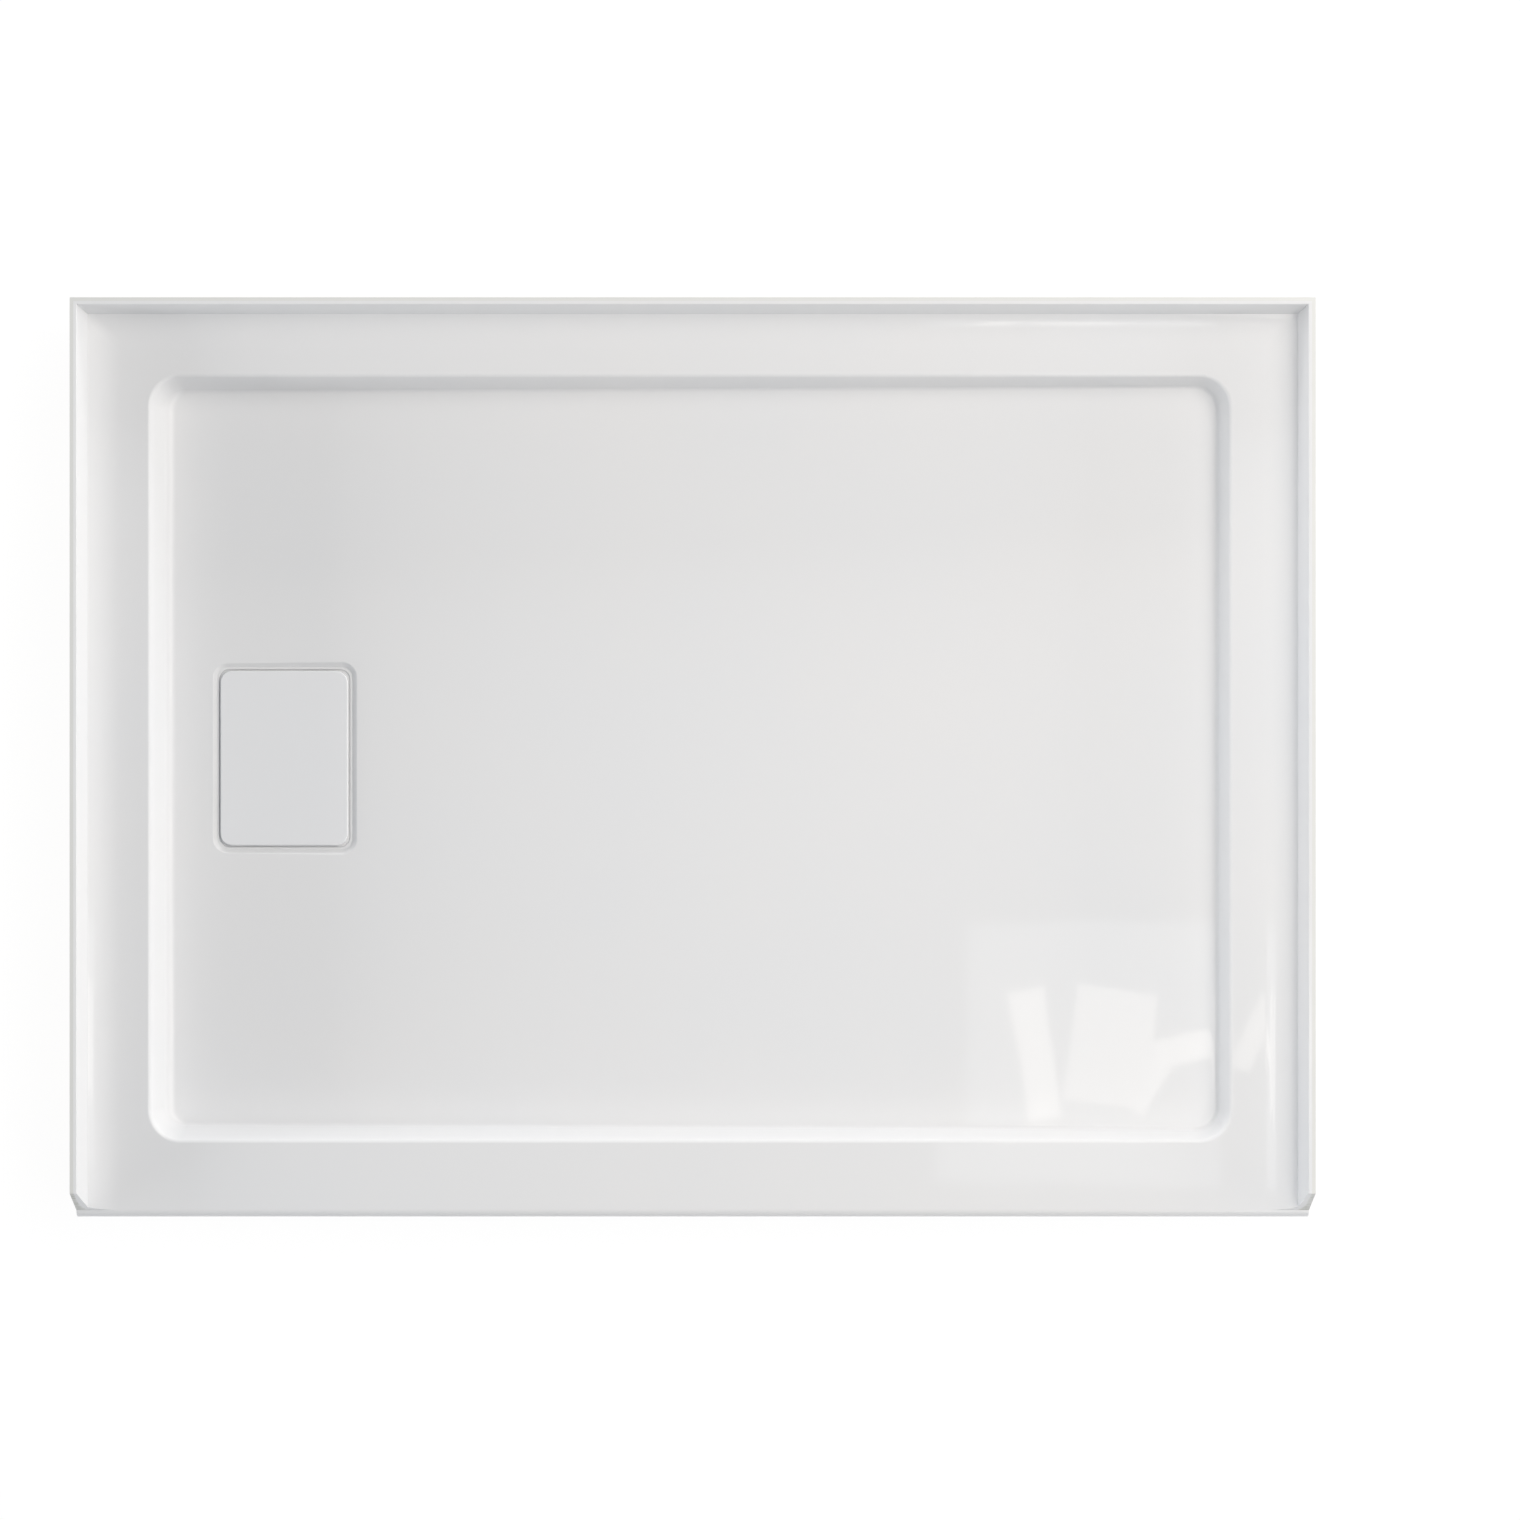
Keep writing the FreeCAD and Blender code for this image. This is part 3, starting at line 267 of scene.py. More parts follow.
def nose_sheet(outer, depth):
    """The front: a quarter circle from the deck down to the apron, then the apron down to the floor."""
    middle = outer[FRONT_LEFT:FRONT_RIGHT + 1, 0]
    x = np.concatenate([-np.array(NOSE_ENDS[:0:-1]), middle, NOSE_ENDS[1:]])
    radius = NOSE - depth
    angles = np.linspace(0, math.pi / 2, 11)
    rows = [(NOSE_Y - radius * math.sin(a), DECK - NOSE + radius * math.cos(a)) for a in angles]
    rows += [(rows[-1][0], z) for z in APRON_HEIGHTS]
    return np.array([np.column_stack([x, np.full(len(x), y), np.full(len(x), z)]) for y, z in rows])


def ledge_rows(outer, inner, groove):
    """The ledge that carries the cover: level rows between two loops, let down by the groove's depths."""
    shares, drops = zip((0, 0), *groove, (1, 0))
    rows = between(outer, inner, shares)
    rows[:, :, 2] -= np.array(drops)[:, None]
    return rows


def moulding_side(depth):
    """One side of the sheet, depth below its visible face, as grids of points."""
    profile = flange_back(depth) if depth else flange_face()
    foot = profile[0][0]
    box = (-foot, foot, NOSE_Y, foot - SIDE_TO_BACK)
    outer = flat(loop(box, DECK_CORNER, mitred=True), DECK - depth)
    inwards = -OUTWARD[:, 0]
    cove = OTHER_COVE + (LEFT_COVE - OTHER_COVE) * np.clip(inwards, 0, 1)
    base = loop(RECESS, RECESS_CORNER)
    step = step_profile(
        base,
        (DECK - depth, 0.0),
        (floor_height(base[:, 0], depth), FALL * inwards),
        DECK,
        RECESS_DRAFT,
        depth / math.cos(RECESS_DRAFT),
        RIM_ROUND - depth,
        cove + depth,
        (8, 3, 12),
    )
    widened = CLEAR * math.tan(COVER_SLOPE)
    reach = COVER_REACH + widened
    outline = (SUMP[0] - reach, SUMP[1] + reach, SUMP[2] - reach, SUMP[3] + reach)
    base = loop(outline, COVER_CORNER + widened)
    cover_recess = step_profile(
        base,
        (floor_height(base[:, 0], depth), FALL * inwards),
        (COVER_LEDGE - depth, 0.0),
        FLOOR_AT_WASTE + CLEAR,
        COVER_SLOPE,
        depth / math.cos(COVER_SLOPE),
        max(COVER_RIM - depth, LEAST_ROUND),
        COVER_COVE,
        (6, 2, 6),
    )
    sump = step_profile(
        loop(SUMP, SUMP_CORNER),
        (COVER_LEDGE - depth, 0.0),
        (SUMP_FLOOR - depth, 0.0),
        COVER_LEDGE + CLEAR,
        SUMP_DRAFT,
        depth / math.cos(SUMP_DRAFT),
        max(SUMP_RIM - depth, LEAST_ROUND),
        SUMP_COVE + depth,
        (4, 3, 6),
    )
    spoke = sump[-1][:, :2] - WASTE
    reach = np.linalg.norm(spoke, axis=1, keepdims=True)
    hole = flat(WASTE + WASTE_HOLE * spoke / reach, SUMP_FLOOR - depth)
    return {
        "deck": between(outer, step[0], DECK_SHARES),
        "step": step,
        "floor": between(step[-1], cover_recess[0], FLOOR_SHARES),
        "cover_recess": cover_recess,
        "ledge": ledge_rows(cover_recess[-1], sump[0], GROOVE if depth == 0 else ()),
        "sump": sump,
        "basin": between(sump[-1], hole, BASIN_SHARES),
        "flange": flange_sheet(outer, profile),
        "nose": nose_sheet(outer, depth),
    }


def cut_ends(face, back):
    """The flat ends of the moulding beside the nose: the slanted cut, and the nose's own edge behind it."""
    outlines = []
    for column, side in ((0, 1), (-1, -1)):
        p, q = face["flange"][:, column], back["flange"][:, column]
        top = [np.array([side * x, NOSE_Y, DECK]) for x in NOSE_ENDS[2:]]
        low = [np.array([side * x, NOSE_Y, DECK - ACRYLIC]) for x in NOSE_ENDS[1:]]
        outlines.append([*p, *q[:MEET_ROW - 1:-1]])
        outlines.append([*q[:MEET_ROW + 1], *top, *low[::-1]])
    return outlines


def add_piece(name, grids, outlines=()):
    """A closed mesh from grids of points and flat outlines in millimetres, joined where their points meet."""
    points, faces, count = [], [], 0
    for grid in grids:
        rows, columns = grid.shape[:2]
        corner = count + np.arange(rows * columns).reshape(rows, columns)
        quads = np.stack([corner[:-1, :-1], corner[:-1, 1:], corner[1:, 1:], corner[1:, :-1]], axis=-1)
        faces += quads.reshape(-1, 4).tolist()
        points.append(grid.reshape(-1, 3))
        count += rows * columns
    for outline in outlines:
        points.append(np.array(outline))
        faces.append(list(range(count, count + len(outline))))
        count += len(outline)
    mesh = bpy.data.meshes.new(name)
    mesh.from_pydata(np.concatenate(points) / MM, [], faces)
    work = bmesh.new()
    work.from_mesh(mesh)
    bmesh.ops.remove_doubles(work, verts=work.verts, dist=JOIN_WITHIN)
    bmesh.ops.dissolve_degenerate(work, edges=work.edges, dist=SHORTEST_EDGE)
    bmesh.ops.recalc_face_normals(work, faces=work.faces)
    work.to_mesh(mesh)
    work.free()
    mesh.polygons.foreach_set("use_smooth", np.ones(len(mesh.polygons), bool))
    mesh.set_sharp_from_angle(angle=SHARP_EDGE)
    piece = bpy.data.objects.new(name, mesh)
    scene.collection.objects.link(piece)
    return piece


def stand_for(piece, body, slot, *replaced):
    """Tie a piece to its body and hide the nodes that it replaces."""
    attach(piece, body)
    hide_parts(*replaced)


def make_moulding():
    """The acrylic sheet: its face, the same surface 3.2 mm behind it, and strips that close the cut edges."""
    face, back = moulding_side(0.0), moulding_side(ACRYLIC)
    grids = [*face.values(), *back.values()]
    for part in ("flange", "nose", "basin"):
        grids.append(np.stack([face[part][-1], back[part][-1]]))
    for column in (0, -1):
        grids.append(np.stack([face["nose"][:, column], back["nose"][:, column]]))
    piece = add_piece("moulded_acrylic_sheet", grids, cut_ends(face, back))
    stand_for(piece, "tray", "white_acrylic", "acrylic_shell")
    return piece


moulding = make_moulding()

# ---------------------------------------------------------------- materials


def add_node(tree, kind, inputs=None, **settings):
    """A shader node with its settings; an input is a number, a colour or another node's output."""
    node = tree.nodes.new(kind)
    for key, setting in settings.items():
        setattr(node, key, setting)
    for key, given in (inputs or {}).items():
        if isinstance(given, bpy.types.NodeSocket):
            tree.links.new(given, node.inputs[key])
        else:
            node.inputs[key].default_value = given
    return node


def new_group(name, takes, gives):
    """An empty node group; takes and gives are (name, socket kind, default) and (name, socket kind)."""
    group = bpy.data.node_groups.new(name, "ShaderNodeTree")
    for label, kind, default in takes:
        socket = group.interface.new_socket(name=label, in_out="INPUT", socket_type=kind)
        if default is not None:
            socket.default_value = default
    for label, kind in gives:
        group.interface.new_socket(name=label, in_out="OUTPUT", socket_type=kind)
    return group, group.nodes.new("NodeGroupInput").outputs, group.nodes.new("NodeGroupOutput").inputs


def ramp(tree, fac, stops):
    """A colour ramp through (place, colour) stops."""
    node = add_node(tree, "ShaderNodeValToRGB", {"Fac": fac})
    elements = node.color_ramp.elements
    while len(elements) < len(stops):
        elements.new(0.5)
    for element, (place, colour) in zip(elements, stops):
        element.position = place
        element.color = (*colour, 1)
    return node.outputs["Color"]


NOISE_RANGE = (0.3, 0.7)  # where fractal noise mostly lies


def two_tone(tree, fac, low, high):
    """A colour that goes from low to high as noise crosses its usual range."""
    return ramp(tree, fac, list(zip(NOISE_RANGE, (low, high))))


def spread(tree, given, low, high, from_low=0.0, from_high=1.0):
    """A number carried from one range to another."""
    node = add_node(
        tree,
        "ShaderNodeMapRange",
        {"Value": given, "From Min": from_low, "From Max": from_high, "To Min": low, "To Max": high},
    )
    return node.outputs["Result"]


def stretched(tree, vector, scale, turn=(0, 0, 0), shift=(0, 0, 0)):
    """Coordinates shifted, turned and scaled."""
    return add_node(
        tree,
        "ShaderNodeMapping",
        {"Vector": vector, "Scale": scale, "Rotation": turn, "Location": shift},
    ).outputs["Vector"]


def noise(tree, vector, scale, detail=3.0, rough=0.5):
    """Fractal noise between 0 and 1."""
    return add_node(
        tree,
        "ShaderNodeTexNoise",
        {"Vector": vector, "Scale": scale, "Detail": detail, "Roughness": rough},
    ).outputs["Fac"]


def combine(tree, operation, first, second):
    """Two numbers put together by a maths operation."""
    return add_node(tree, "ShaderNodeMath", {0: first, 1: second}, operation=operation).outputs[0]


def make_gloss_group():
    """Moulded gloss: a broad wave, a finer orange peel, and a slow change of gloss across the piece."""
    group, takes, gives = new_group(
        "moulded_gloss",
        [
            ("Vector", "NodeSocketVector", None),
            ("Wave Scale", "NodeSocketFloat", 4.0),
            ("Peel Scale", "NodeSocketFloat", 180.0),
            ("Peel Share", "NodeSocketFloat", 0.02),
        ],
        [("Height", "NodeSocketFloat"), ("Variation", "NodeSocketFloat")],
    )
    wave = noise(group, takes["Vector"], takes["Wave Scale"], 2.0, 0.45)
    peel = noise(group, takes["Vector"], takes["Peel Scale"], 1.0)
    fine = combine(group, "MULTIPLY", peel, takes["Peel Share"])
    group.links.new(combine(group, "ADD", wave, fine), gives["Height"])
    shifted = stretched(group, takes["Vector"], (1, 1, 1), shift=(3.7, 1.9, 0.4))
    group.links.new(noise(group, shifted, takes["Wave Scale"], 4.0, 0.6), gives["Variation"])
    return group


def make_strand_group():
    """Chopped strands: five layers of noise drawn out along different directions; the brightest one shows."""
    group, takes, gives = new_group(
        "chopped_strands",
        [("Vector", "NodeSocketVector", None), ("Across", "NodeSocketFloat", 420.0)],
        [("Strand", "NodeSocketFloat")],
    )
    strongest = None
    for layer in range(5):
        turned = stretched(
            group,
            takes["Vector"],
            (0.045, 1.0, 1.0),
            turn=(0.5 * layer, 0.35 * layer, math.radians(36 * layer + 11)),
            shift=(0.31 * layer, 0.17, 0.23 * layer),
        )
        streak = noise(group, turned, takes["Across"], 0.0)
        strongest = streak if strongest is None else combine(group, "MAXIMUM", strongest, streak)
    group.links.new(strongest, gives["Strand"])
    return group


def make_grain_group():
    """Sawn softwood along the local X: growth rings about an offset pith, long fibres and slow blotches."""
    group, takes, gives = new_group(
        "softwood_grain",
        [("Vector", "NodeSocketVector", None)],
        [("Ring", "NodeSocketFloat"), ("Fibre", "NodeSocketFloat"), ("Blotch", "NodeSocketFloat")],
    )
    along = stretched(group, takes["Vector"], (0.12, 1, 1), shift=(0, 0.061, 0.043))
    rings = add_node(
        group,
        "ShaderNodeTexWave",
        {"Vector": along, "Scale": 58.0, "Distortion": 9.0, "Detail": 3.0, "Detail Scale": 0.3},
        wave_type="RINGS",
        rings_direction="X",
        wave_profile="SAW",
    ).outputs["Fac"]
    fibre = noise(group, stretched(group, takes["Vector"], (0.02, 1, 1)), 900.0, 3.0, 0.6)
    blotch = noise(group, stretched(group, takes["Vector"], (0.3, 1, 1)), 14.0, 3.0)
    for label, output in (("Ring", rings), ("Fibre", fibre), ("Blotch", blotch)):
        group.links.new(output, gives[label])
    return group


GLOSS, STRANDS, GRAIN = make_gloss_group(), make_strand_group(), make_grain_group()


TRIMMED_EDGE = (0.1285, 0.1297)  # height over which the laminate's sprayed look ends


def new_material(name, **constants):
    """A material with one Principled shader, whose own sockets take the constants."""
    material = bpy.data.materials.new(name)
    material.use_nodes = True
    tree = material.node_tree
    tree.nodes.clear()
    shader = add_node(tree, "ShaderNodeBsdfPrincipled")
    for label, given in constants.items():
        shader.inputs[label.replace("_", " ")].default_value = given
    output = add_node(tree, "ShaderNodeOutputMaterial")
    tree.links.new(shader.outputs["BSDF"], output.inputs["Surface"])
    coordinates = add_node(tree, "ShaderNodeTexCoord").outputs["Object"]
    return material, tree, shader, coordinates


def mixed(tree, share, first, second, blend="MIX"):
    """Two colours mixed by a share; each is a colour or another node's output."""
    return add_node(
        tree, "ShaderNodeMix", {0: share, 6: first, 7: second}, data_type="RGBA", blend_type=blend
    ).outputs[2]


def place_group(tree, group, **inputs):
    """A group's outputs; an underscore in an input's name stands for a space."""
    node = add_node(tree, "ShaderNodeGroup", node_tree=group)
    for label, given in inputs.items():
        socket = node.inputs[label.replace("_", " ")]
        if isinstance(given, bpy.types.NodeSocket):
            tree.links.new(given, socket)
        else:
            socket.default_value = given
    return node.outputs


def add_bump(tree, shader, height, distance, strength=1.0):
    """Relief on a shader's normal, distance in metres."""
    bump = add_node(tree, "ShaderNodeBump", {"Height": height, "Distance": distance, "Strength": strength})
    tree.links.new(bump.outputs["Normal"], shader.inputs["Normal"])


def gloss_material(name, low, high, rough, wave_scale, wave_height, peel_scale, peel_share, **constants):
    """Moulded plastic: colour and roughness drift slowly between two values over a faintly uneven surface."""
    material, tree, shader, coordinates = new_material(name, **constants)
    gloss = place_group(
        tree, GLOSS, Vector=coordinates, Wave_Scale=wave_scale, Peel_Scale=peel_scale, Peel_Share=peel_share
    )
    colour = two_tone(tree, gloss["Variation"], low, high)
    tree.links.new(colour, shader.inputs["Base Color"])
    tree.links.new(spread(tree, gloss["Variation"], *rough, *NOISE_RANGE), shader.inputs["Roughness"])
    add_bump(tree, shader, gloss["Height"], wave_height)
    return material


def laminate_material():
    """Chopped strands in resin: pale fibres over a greener ground, lumpy where the spray was thicker.

    The flange's top edge is trimmed, so there the strands and the lumps fade out into a plain pale tone.
    """
    material, tree, shader, coordinates = new_material("glass_fibre_laminate", IOR=1.52)
    strand = place_group(tree, STRANDS, Vector=coordinates)["Strand"]
    lumps = noise(tree, coordinates, 30.0, 4.0, 0.6)
    tint = two_tone(tree, lumps, (0.55, 0.565, 0.53), (0.64, 0.65, 0.62))
    fibre = ramp(tree, strand, [(0.58, (0, 0, 0)), (0.72, (1, 1, 1))])
    level = add_node(tree, "ShaderNodeSeparateXYZ", {0: coordinates}).outputs["Z"]
    sprayed = spread(tree, level, 1, 0, *TRIMMED_EDGE)
    strands = mixed(tree, combine(tree, "MULTIPLY", fibre, sprayed), tint, (0.74, 0.745, 0.73, 1))
    colour = mixed(tree, sprayed, (0.76, 0.765, 0.745, 1), strands)
    tree.links.new(colour, shader.inputs["Base Color"])
    tree.links.new(spread(tree, lumps, 0.28, 0.55, *NOISE_RANGE), shader.inputs["Roughness"])
    height = combine(tree, "ADD", combine(tree, "MULTIPLY", strand, 0.25), lumps)
    add_bump(tree, shader, combine(tree, "MULTIPLY", height, sprayed), 0.0014)
    return material


def chipboard_material():
    """Pressed flakes: cells of several browns drawn out a little, with dark gaps and a thin resin glaze."""
    material, tree, shader, coordinates = new_material("chipboard", Coat_Weight=0.25, Coat_Roughness=0.3)
    flakes = add_node(
        tree,
        "ShaderNodeTexVoronoi",
        {"Vector": stretched(tree, coordinates, (0.55, 1, 1.6), turn=(0, 0, 0.4)), "Scale": 230.0},
    )
    pick = add_node(tree, "ShaderNodeSeparateColor", {0: flakes.outputs["Color"]}).outputs[0]
    browns = [
        (0.0, (0.34, 0.22, 0.12)),
        (0.35, (0.50, 0.36, 0.21)),
        (0.7, (0.60, 0.46, 0.29)),
        (1.0, (0.70, 0.57, 0.39)),
    ]
    colour = ramp(tree, pick, browns)
    dust = noise(tree, coordinates, 120.0, 4.0, 0.65)
    shade = ramp(tree, dust, [(0.3, (0.72, 0.72, 0.72)), (0.65, (1, 1, 1))])
    tree.links.new(mixed(tree, 1.0, colour, shade, "MULTIPLY"), shader.inputs["Base Color"])
    tree.links.new(spread(tree, pick, 0.55, 0.8), shader.inputs["Roughness"])
    add_bump(tree, shader, flakes.outputs["Distance"], 0.0004, 0.6)
    return material


def timber_material(name, turn, shift):
    """Planed softwood whose length lies along the given turn of X; shift moves the pith, so no two match."""
    material, tree, shader, coordinates = new_material(name, IOR=1.45)
    vector = stretched(tree, coordinates, (1, 1, 1), turn=turn, shift=shift)
    grain = place_group(tree, GRAIN, Vector=vector)
    early_to_late = [
        (0.0, (0.60, 0.44, 0.27)),
        (0.5, (0.57, 0.41, 0.24)),
        (0.9, (0.47, 0.31, 0.17)),
        (1.0, (0.57, 0.41, 0.24)),
    ]
    ring = ramp(tree, grain["Ring"], early_to_late)
    shade = ramp(tree, grain["Fibre"], [(0.25, (0.78, 0.76, 0.72)), (0.6, (1, 1, 1))])
    tree.links.new(mixed(tree, 0.8, ring, shade, "MULTIPLY"), shader.inputs["Base Color"])
    tree.links.new(spread(tree, grain["Blotch"], 0.5, 0.75), shader.inputs["Roughness"])
    height = combine(tree, "ADD", combine(tree, "MULTIPLY", grain["Ring"], 0.3), grain["Fibre"])
    add_bump(tree, shader, height, 0.0003, 0.7)
    return material


def steel_material():
    """Stainless brushed round the waste's axis: fine rings of noise change roughness and relief."""
    material, tree, shader, coordinates = new_material("stainless_steel", Metallic=1.0, Anisotropic=0.5)
    centred = stretched(tree, coordinates, (1, 1, 1), shift=(-WASTE[0] / MM, -WASTE[1] / MM, 0))
    level = stretched(tree, centred, (1, 1, 0))
    radius = add_node(tree, "ShaderNodeVectorMath", {0: level}, operation="LENGTH").outputs["Value"]
    drawn = add_node(tree, "ShaderNodeCombineXYZ", {"X": radius}).outputs["Vector"]
    brush = noise(tree, drawn, 5200.0, 4.0, 0.7)
    smear = noise(tree, coordinates, 45.0, 3.0)
    colour = two_tone(tree, smear, (0.56, 0.56, 0.57), (0.66, 0.66, 0.67))
    tree.links.new(colour, shader.inputs["Base Color"])
    tree.links.new(spread(tree, brush, 0.2, 0.38, *NOISE_RANGE), shader.inputs["Roughness"])
    add_bump(tree, shader, brush, 0.00002)
    return material


def fibre_material():
    """Pressed brown fibre: felted noise with darker specks."""
    material, tree, shader, coordinates = new_material("washer_fibre")
    felt = noise(tree, coordinates, 700.0, 5.0, 0.7)
    colour = two_tone(tree, felt, (0.24, 0.15, 0.09), (0.46, 0.33, 0.21))
    tree.links.new(colour, shader.inputs["Base Color"])
    tree.links.new(spread(tree, felt, 0.7, 0.92), shader.inputs["Roughness"])
    add_bump(tree, shader, felt, 0.0002)
    return material


# name, low and high colour, roughness, wave scale and height, peel scale and share, index of refraction
ACRYLIC_WHITE = gloss_material(
    "white_acrylic", (0.835, 0.843, 0.855), (0.85, 0.85, 0.853), (0.02, 0.045),
    3.2, 0.0007, 160.0, 0.002, IOR=1.49,
)
COVER_WHITE = gloss_material(
    "white_cover", (0.853, 0.863, 0.88), (0.855, 0.864, 0.878), (0.235, 0.265),
    9.0, 0.0002, 420.0, 0.06, IOR=1.5,
)
LAMINATE = laminate_material()
CHIPBOARD = chipboard_material()
TIMBERS = {
    "threshold_rail": timber_material("timber_threshold", (0, 0, 0), (0, 0.47, -0.02)),
    "back_rail": timber_material("timber_back", (0, 0, 0), (0.4, -0.40, 0.03)),
    "left_rail": timber_material("timber_left", (0, 0, math.pi / 2), (0.2, 0.55, -0.01)),
    "right_rail": timber_material("timber_right", (0, 0, math.pi / 2), (0.7, -0.63, 0.02)),
    "support_block": timber_material("timber_block", (0, 0, 0), (0.1, 0.02, 0.01)),
}
PVC_WHITE = gloss_material(
    "waste_plastic", (0.76, 0.76, 0.74), (0.80, 0.80, 0.785), (0.30, 0.42),
    22.0, 0.0001, 900.0, 0.05, IOR=1.53,
)
NUT_BLACK = gloss_material(
    "nut_plastic", (0.05, 0.05, 0.055), (0.085, 0.085, 0.09), (0.32, 0.46),
    30.0, 0.0001, 900.0, 0.08, IOR=1.5,
)
RUBBER = gloss_material(
    "sealing_rubber", (0.022, 0.022, 0.023), (0.05, 0.05, 0.052), (0.6, 0.8),
    60.0, 0.0001, 1500.0, 0.2, IOR=1.45,
)
FIBRE = fibre_material()
STEEL = steel_material()

FINISHES = {
    "fibreglass_backing": LAMINATE,
    "floor_board": CHIPBOARD,
    "drain_body": PVC_WHITE,
    "drain_locknut": PVC_WHITE,
    "compression_nut": NUT_BLACK,
    "drain_sealing_washer": RUBBER,
    "pipe_gasket": RUBBER,
    "drain_friction_washer": FIBRE,
    "strainer": STEEL,
    "drain_cover": COVER_WHITE,
}


def finish_for(name):
    """The material of a CAD node."""
    if name in FINISHES:
        return FINISHES[name]
    if name.startswith("cover_foot"):
        return RUBBER
    if name.startswith("support_block"):
        return TIMBERS["support_block"]
    return TIMBERS.get(name, ACRYLIC_WHITE)


for name, node in nodes.items():
    node.data.materials.clear()
    node.data.materials.append(finish_for(name))
moulding.data.materials.append(ACRYLIC_WHITE)

# ---------------------------------------------------------------- ground, light and camera
CAMERA_HEIGHT, CAMERA_SHIFT = 2.85, 0.0443
LENS, SENSOR = 65.8, 36.0  # millimetres
FARTHEST = 50.0
GROUND_REACH, GROUND_LEVEL = 12.0, -0.0005
GROUND_GLOW, GLOW_SHARE = 1.04, 0.9  # how bright the camera sees the ground, and how much of that is glow
WORLD_STRENGTH, WORLD_TINT = 0.317, (0.87, 0.93, 1.0)
WARM, PLAIN, COOL = (1.0, 0.945, 0.885), (0.995, 0.99, 0.985), (0.93, 0.97, 1.0)


def add_ground():
    """A pale floor that the camera and glossy rays see nearly white, with the tray's shadow kept."""
    mesh = bpy.data.meshes.new("ground")
    signs = ((-1, -1), (1, -1), (1, 1), (-1, 1))
    corners = [(GROUND_REACH * x, GROUND_REACH * y, GROUND_LEVEL) for x, y in signs]
    mesh.from_pydata(corners, [], [(0, 1, 2, 3)])
    ground = bpy.data.objects.new("ground", mesh)
    scene.collection.objects.link(ground)
    material = bpy.data.materials.new("ground_white")
    material.use_nodes = True
    tree = material.node_tree
    tree.nodes.clear()
    path = add_node(tree, "ShaderNodeLightPath").outputs
    mirrored = combine(tree, "MAXIMUM", path["Is Glossy Ray"], path["Is Transmission Ray"])
    seen = combine(tree, "MAXIMUM", path["Is Camera Ray"], mirrored)
    share = combine(tree, "MULTIPLY", seen, GLOW_SHARE)
    paint = add_node(tree, "ShaderNodeBsdfDiffuse", {"Color": (0.9, 0.9, 0.9, 1)})
    glow = add_node(tree, "ShaderNodeEmission", {"Color": (1, 1, 1, 1), "Strength": GROUND_GLOW})
    mix = add_node(tree, "ShaderNodeMixShader", {0: share})
    tree.links.new(paint.outputs[0], mix.inputs[1])
    tree.links.new(glow.outputs[0], mix.inputs[2])
    output = add_node(tree, "ShaderNodeOutputMaterial")
    tree.links.new(mix.outputs[0], output.inputs["Surface"])
    mesh.materials.append(material)


def add_world():
    """Even pale surroundings; the camera sees them white."""
    world = bpy.data.worlds.new("studio")
    world.use_nodes = True
    scene.world = world
    tree = world.node_tree
    tree.nodes.clear()
    path = add_node(tree, "ShaderNodeLightPath").outputs
    strength = spread(tree, path["Is Camera Ray"], WORLD_STRENGTH, 1.0)
    tint = ramp(tree, path["Is Camera Ray"], [(0.0, WORLD_TINT), (1.0, (1.0, 1.0, 1.0))])
    background = add_node(tree, "ShaderNodeBackground", {"Color": tint, "Strength": strength})
    output = add_node(tree, "ShaderNodeOutputWorld")
    tree.links.new(background.outputs[0], output.inputs["Surface"])


def add_panel(name, place, aim, size, radiance, colour):
    """A rectangular light at place facing aim; radiance 1 is as bright as white paper looks."""
    light = bpy.data.lights.new(name, "AREA")
    light.shape = "RECTANGLE"
    light.size, light.size_y = size
    light.energy = radiance * math.pi * size[0] * size[1]
    light.color = colour
    panel = bpy.data.objects.new(name, light)
    scene.collection.objects.link(panel)
    panel.location = place
    direction = np.array(aim, float) - np.array(place, float)
    flat_length = math.hypot(direction[0], direction[1])
    panel.rotation_euler = (math.atan2(flat_length, -direction[2]), 0, math.atan2(-direction[0], direction[1]))
    panel.visible_camera = False
    return panel


def add_mirrored_panel(name, middle, size, turn, lift, radiance, colour):
    """A panel whose image the camera sees in the floor, about middle and as large as size, in metres.

    It hangs about as high above the floor as the camera does, so its place and size are twice its image's.
    """
    x, y = middle
    place = (2 * x, 2 * y, CAMERA_HEIGHT + lift)
    panel = add_panel(name, place, (2 * x, 2 * y, 0), [2 * side for side in size], radiance, colour)
    panel.rotation_euler = (0, 0, math.radians(turn))


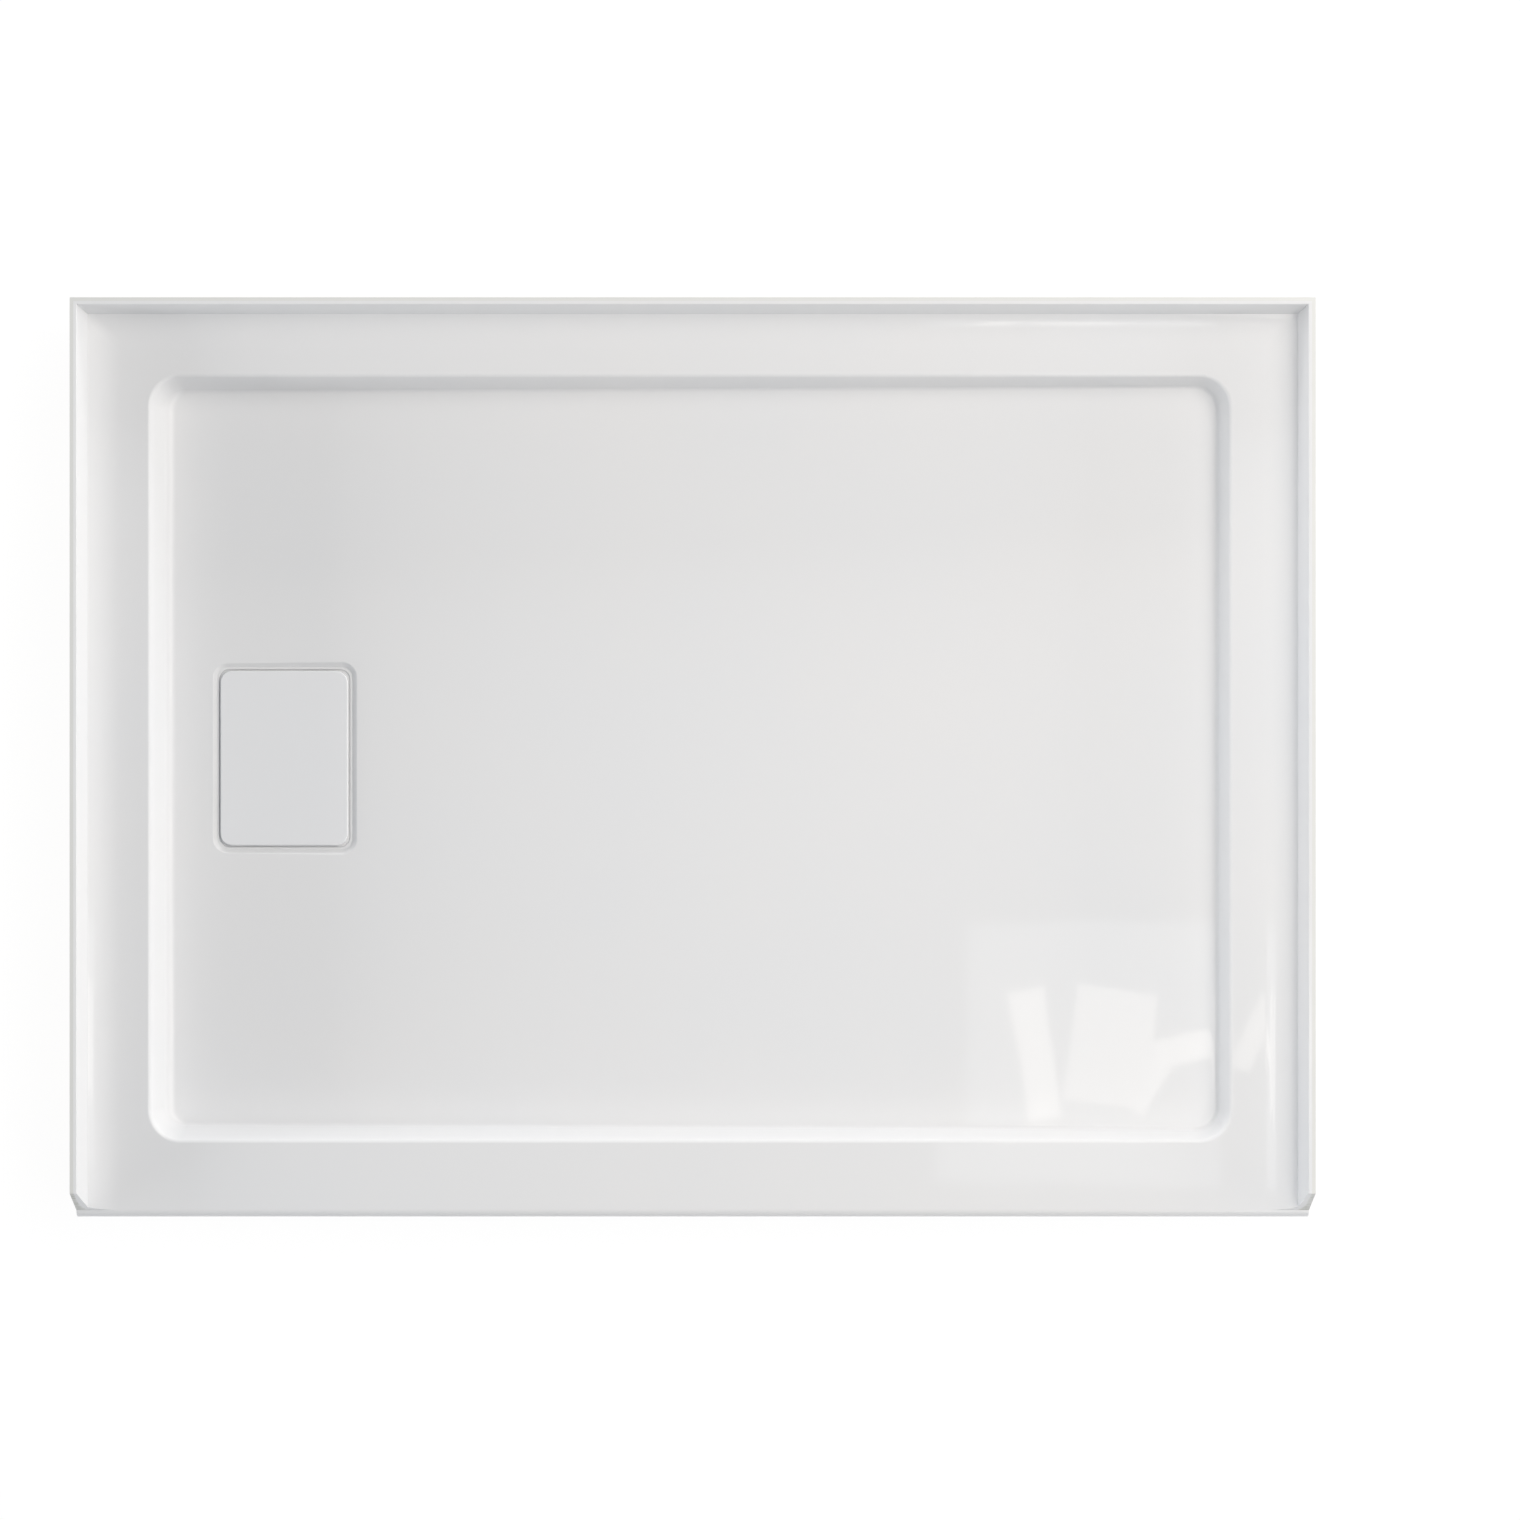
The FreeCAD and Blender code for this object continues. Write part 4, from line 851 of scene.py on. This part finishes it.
def add_camera():
    """Straight above the tray's middle, with the frame shifted as the picture is."""
    lens = bpy.data.cameras.new("camera")
    lens.sensor_width = SENSOR
    lens.lens = LENS
    lens.shift_x = CAMERA_SHIFT
    lens.clip_end = FARTHEST
    camera = bpy.data.objects.new("camera", lens)
    scene.collection.objects.link(camera)
    camera.location = (0, 0, CAMERA_HEIGHT)
    scene.camera = camera


add_ground()
add_world()
MIDDLE, LOW_MIDDLE = (0, 0, 0.08), (0, 0, 0.15)
PANELS = [
    # name, place, what it faces, size, radiance, colour
    ("high_right_back", (1.9, 2.2, 3.3), MIDDLE, (2.0, 2.0), 2.7, WARM),
    ("high_right_front", (2.0, -2.0, 3.2), MIDDLE, (2.0, 2.0), 1.6, WARM),
    ("high_right", (2.5, 0.2, 3.3), MIDDLE, (2.2, 2.2), 1.9, WARM),
    ("overhead", (1.15, 0.55, 3.2), MIDDLE, (1.6, 1.6), 3.1, WARM),
    ("low_right", (3.4, 0, 0.55), LOW_MIDDLE, (4.0, 0.7), 4.7, PLAIN),
    ("low_left", (-3.4, 0, 0.55), LOW_MIDDLE, (4.0, 0.7), 6.9, PLAIN),
    ("low_back", (0, 3.4, 0.55), LOW_MIDDLE, (4.0, 0.7), 6.4, PLAIN),
]
UNMIRRORED = ("overhead", "low_right", "low_left", "low_back")  # the glossy floor would show these as glare
MIRRORED = [
    # name, middle and size of the image on the floor, turn in degrees, lift, radiance, colour
    ("window", (0.389, -0.2975), (0.287, 0.265), 0, 0.1, 0.9, COOL),
    ("window_streak", (0.309, -0.294), (0.036, 0.13), 9, 0, 2.4, WARM),
    ("window_patch", (0.387, -0.287), (0.085, 0.115), -8, 0, 1.9, WARM),
    ("window_bar", (0.481, -0.282), (0.1, 0.028), 14, 0, 2.4, WARM),
    ("window_foot", (0.425, -0.325), (0.024, 0.06), -32, 0, 2.4, WARM),
    ("window_end", (0.56, -0.272), (0.022, 0.075), -25, 0, 2.0, WARM),
]
for row in PANELS:
    panel = add_panel(*row)
    panel.visible_glossy = row[0] not in UNMIRRORED
for row in MIRRORED:
    add_mirrored_panel(*row)
add_camera()
scene.view_settings.view_transform = "Standard"
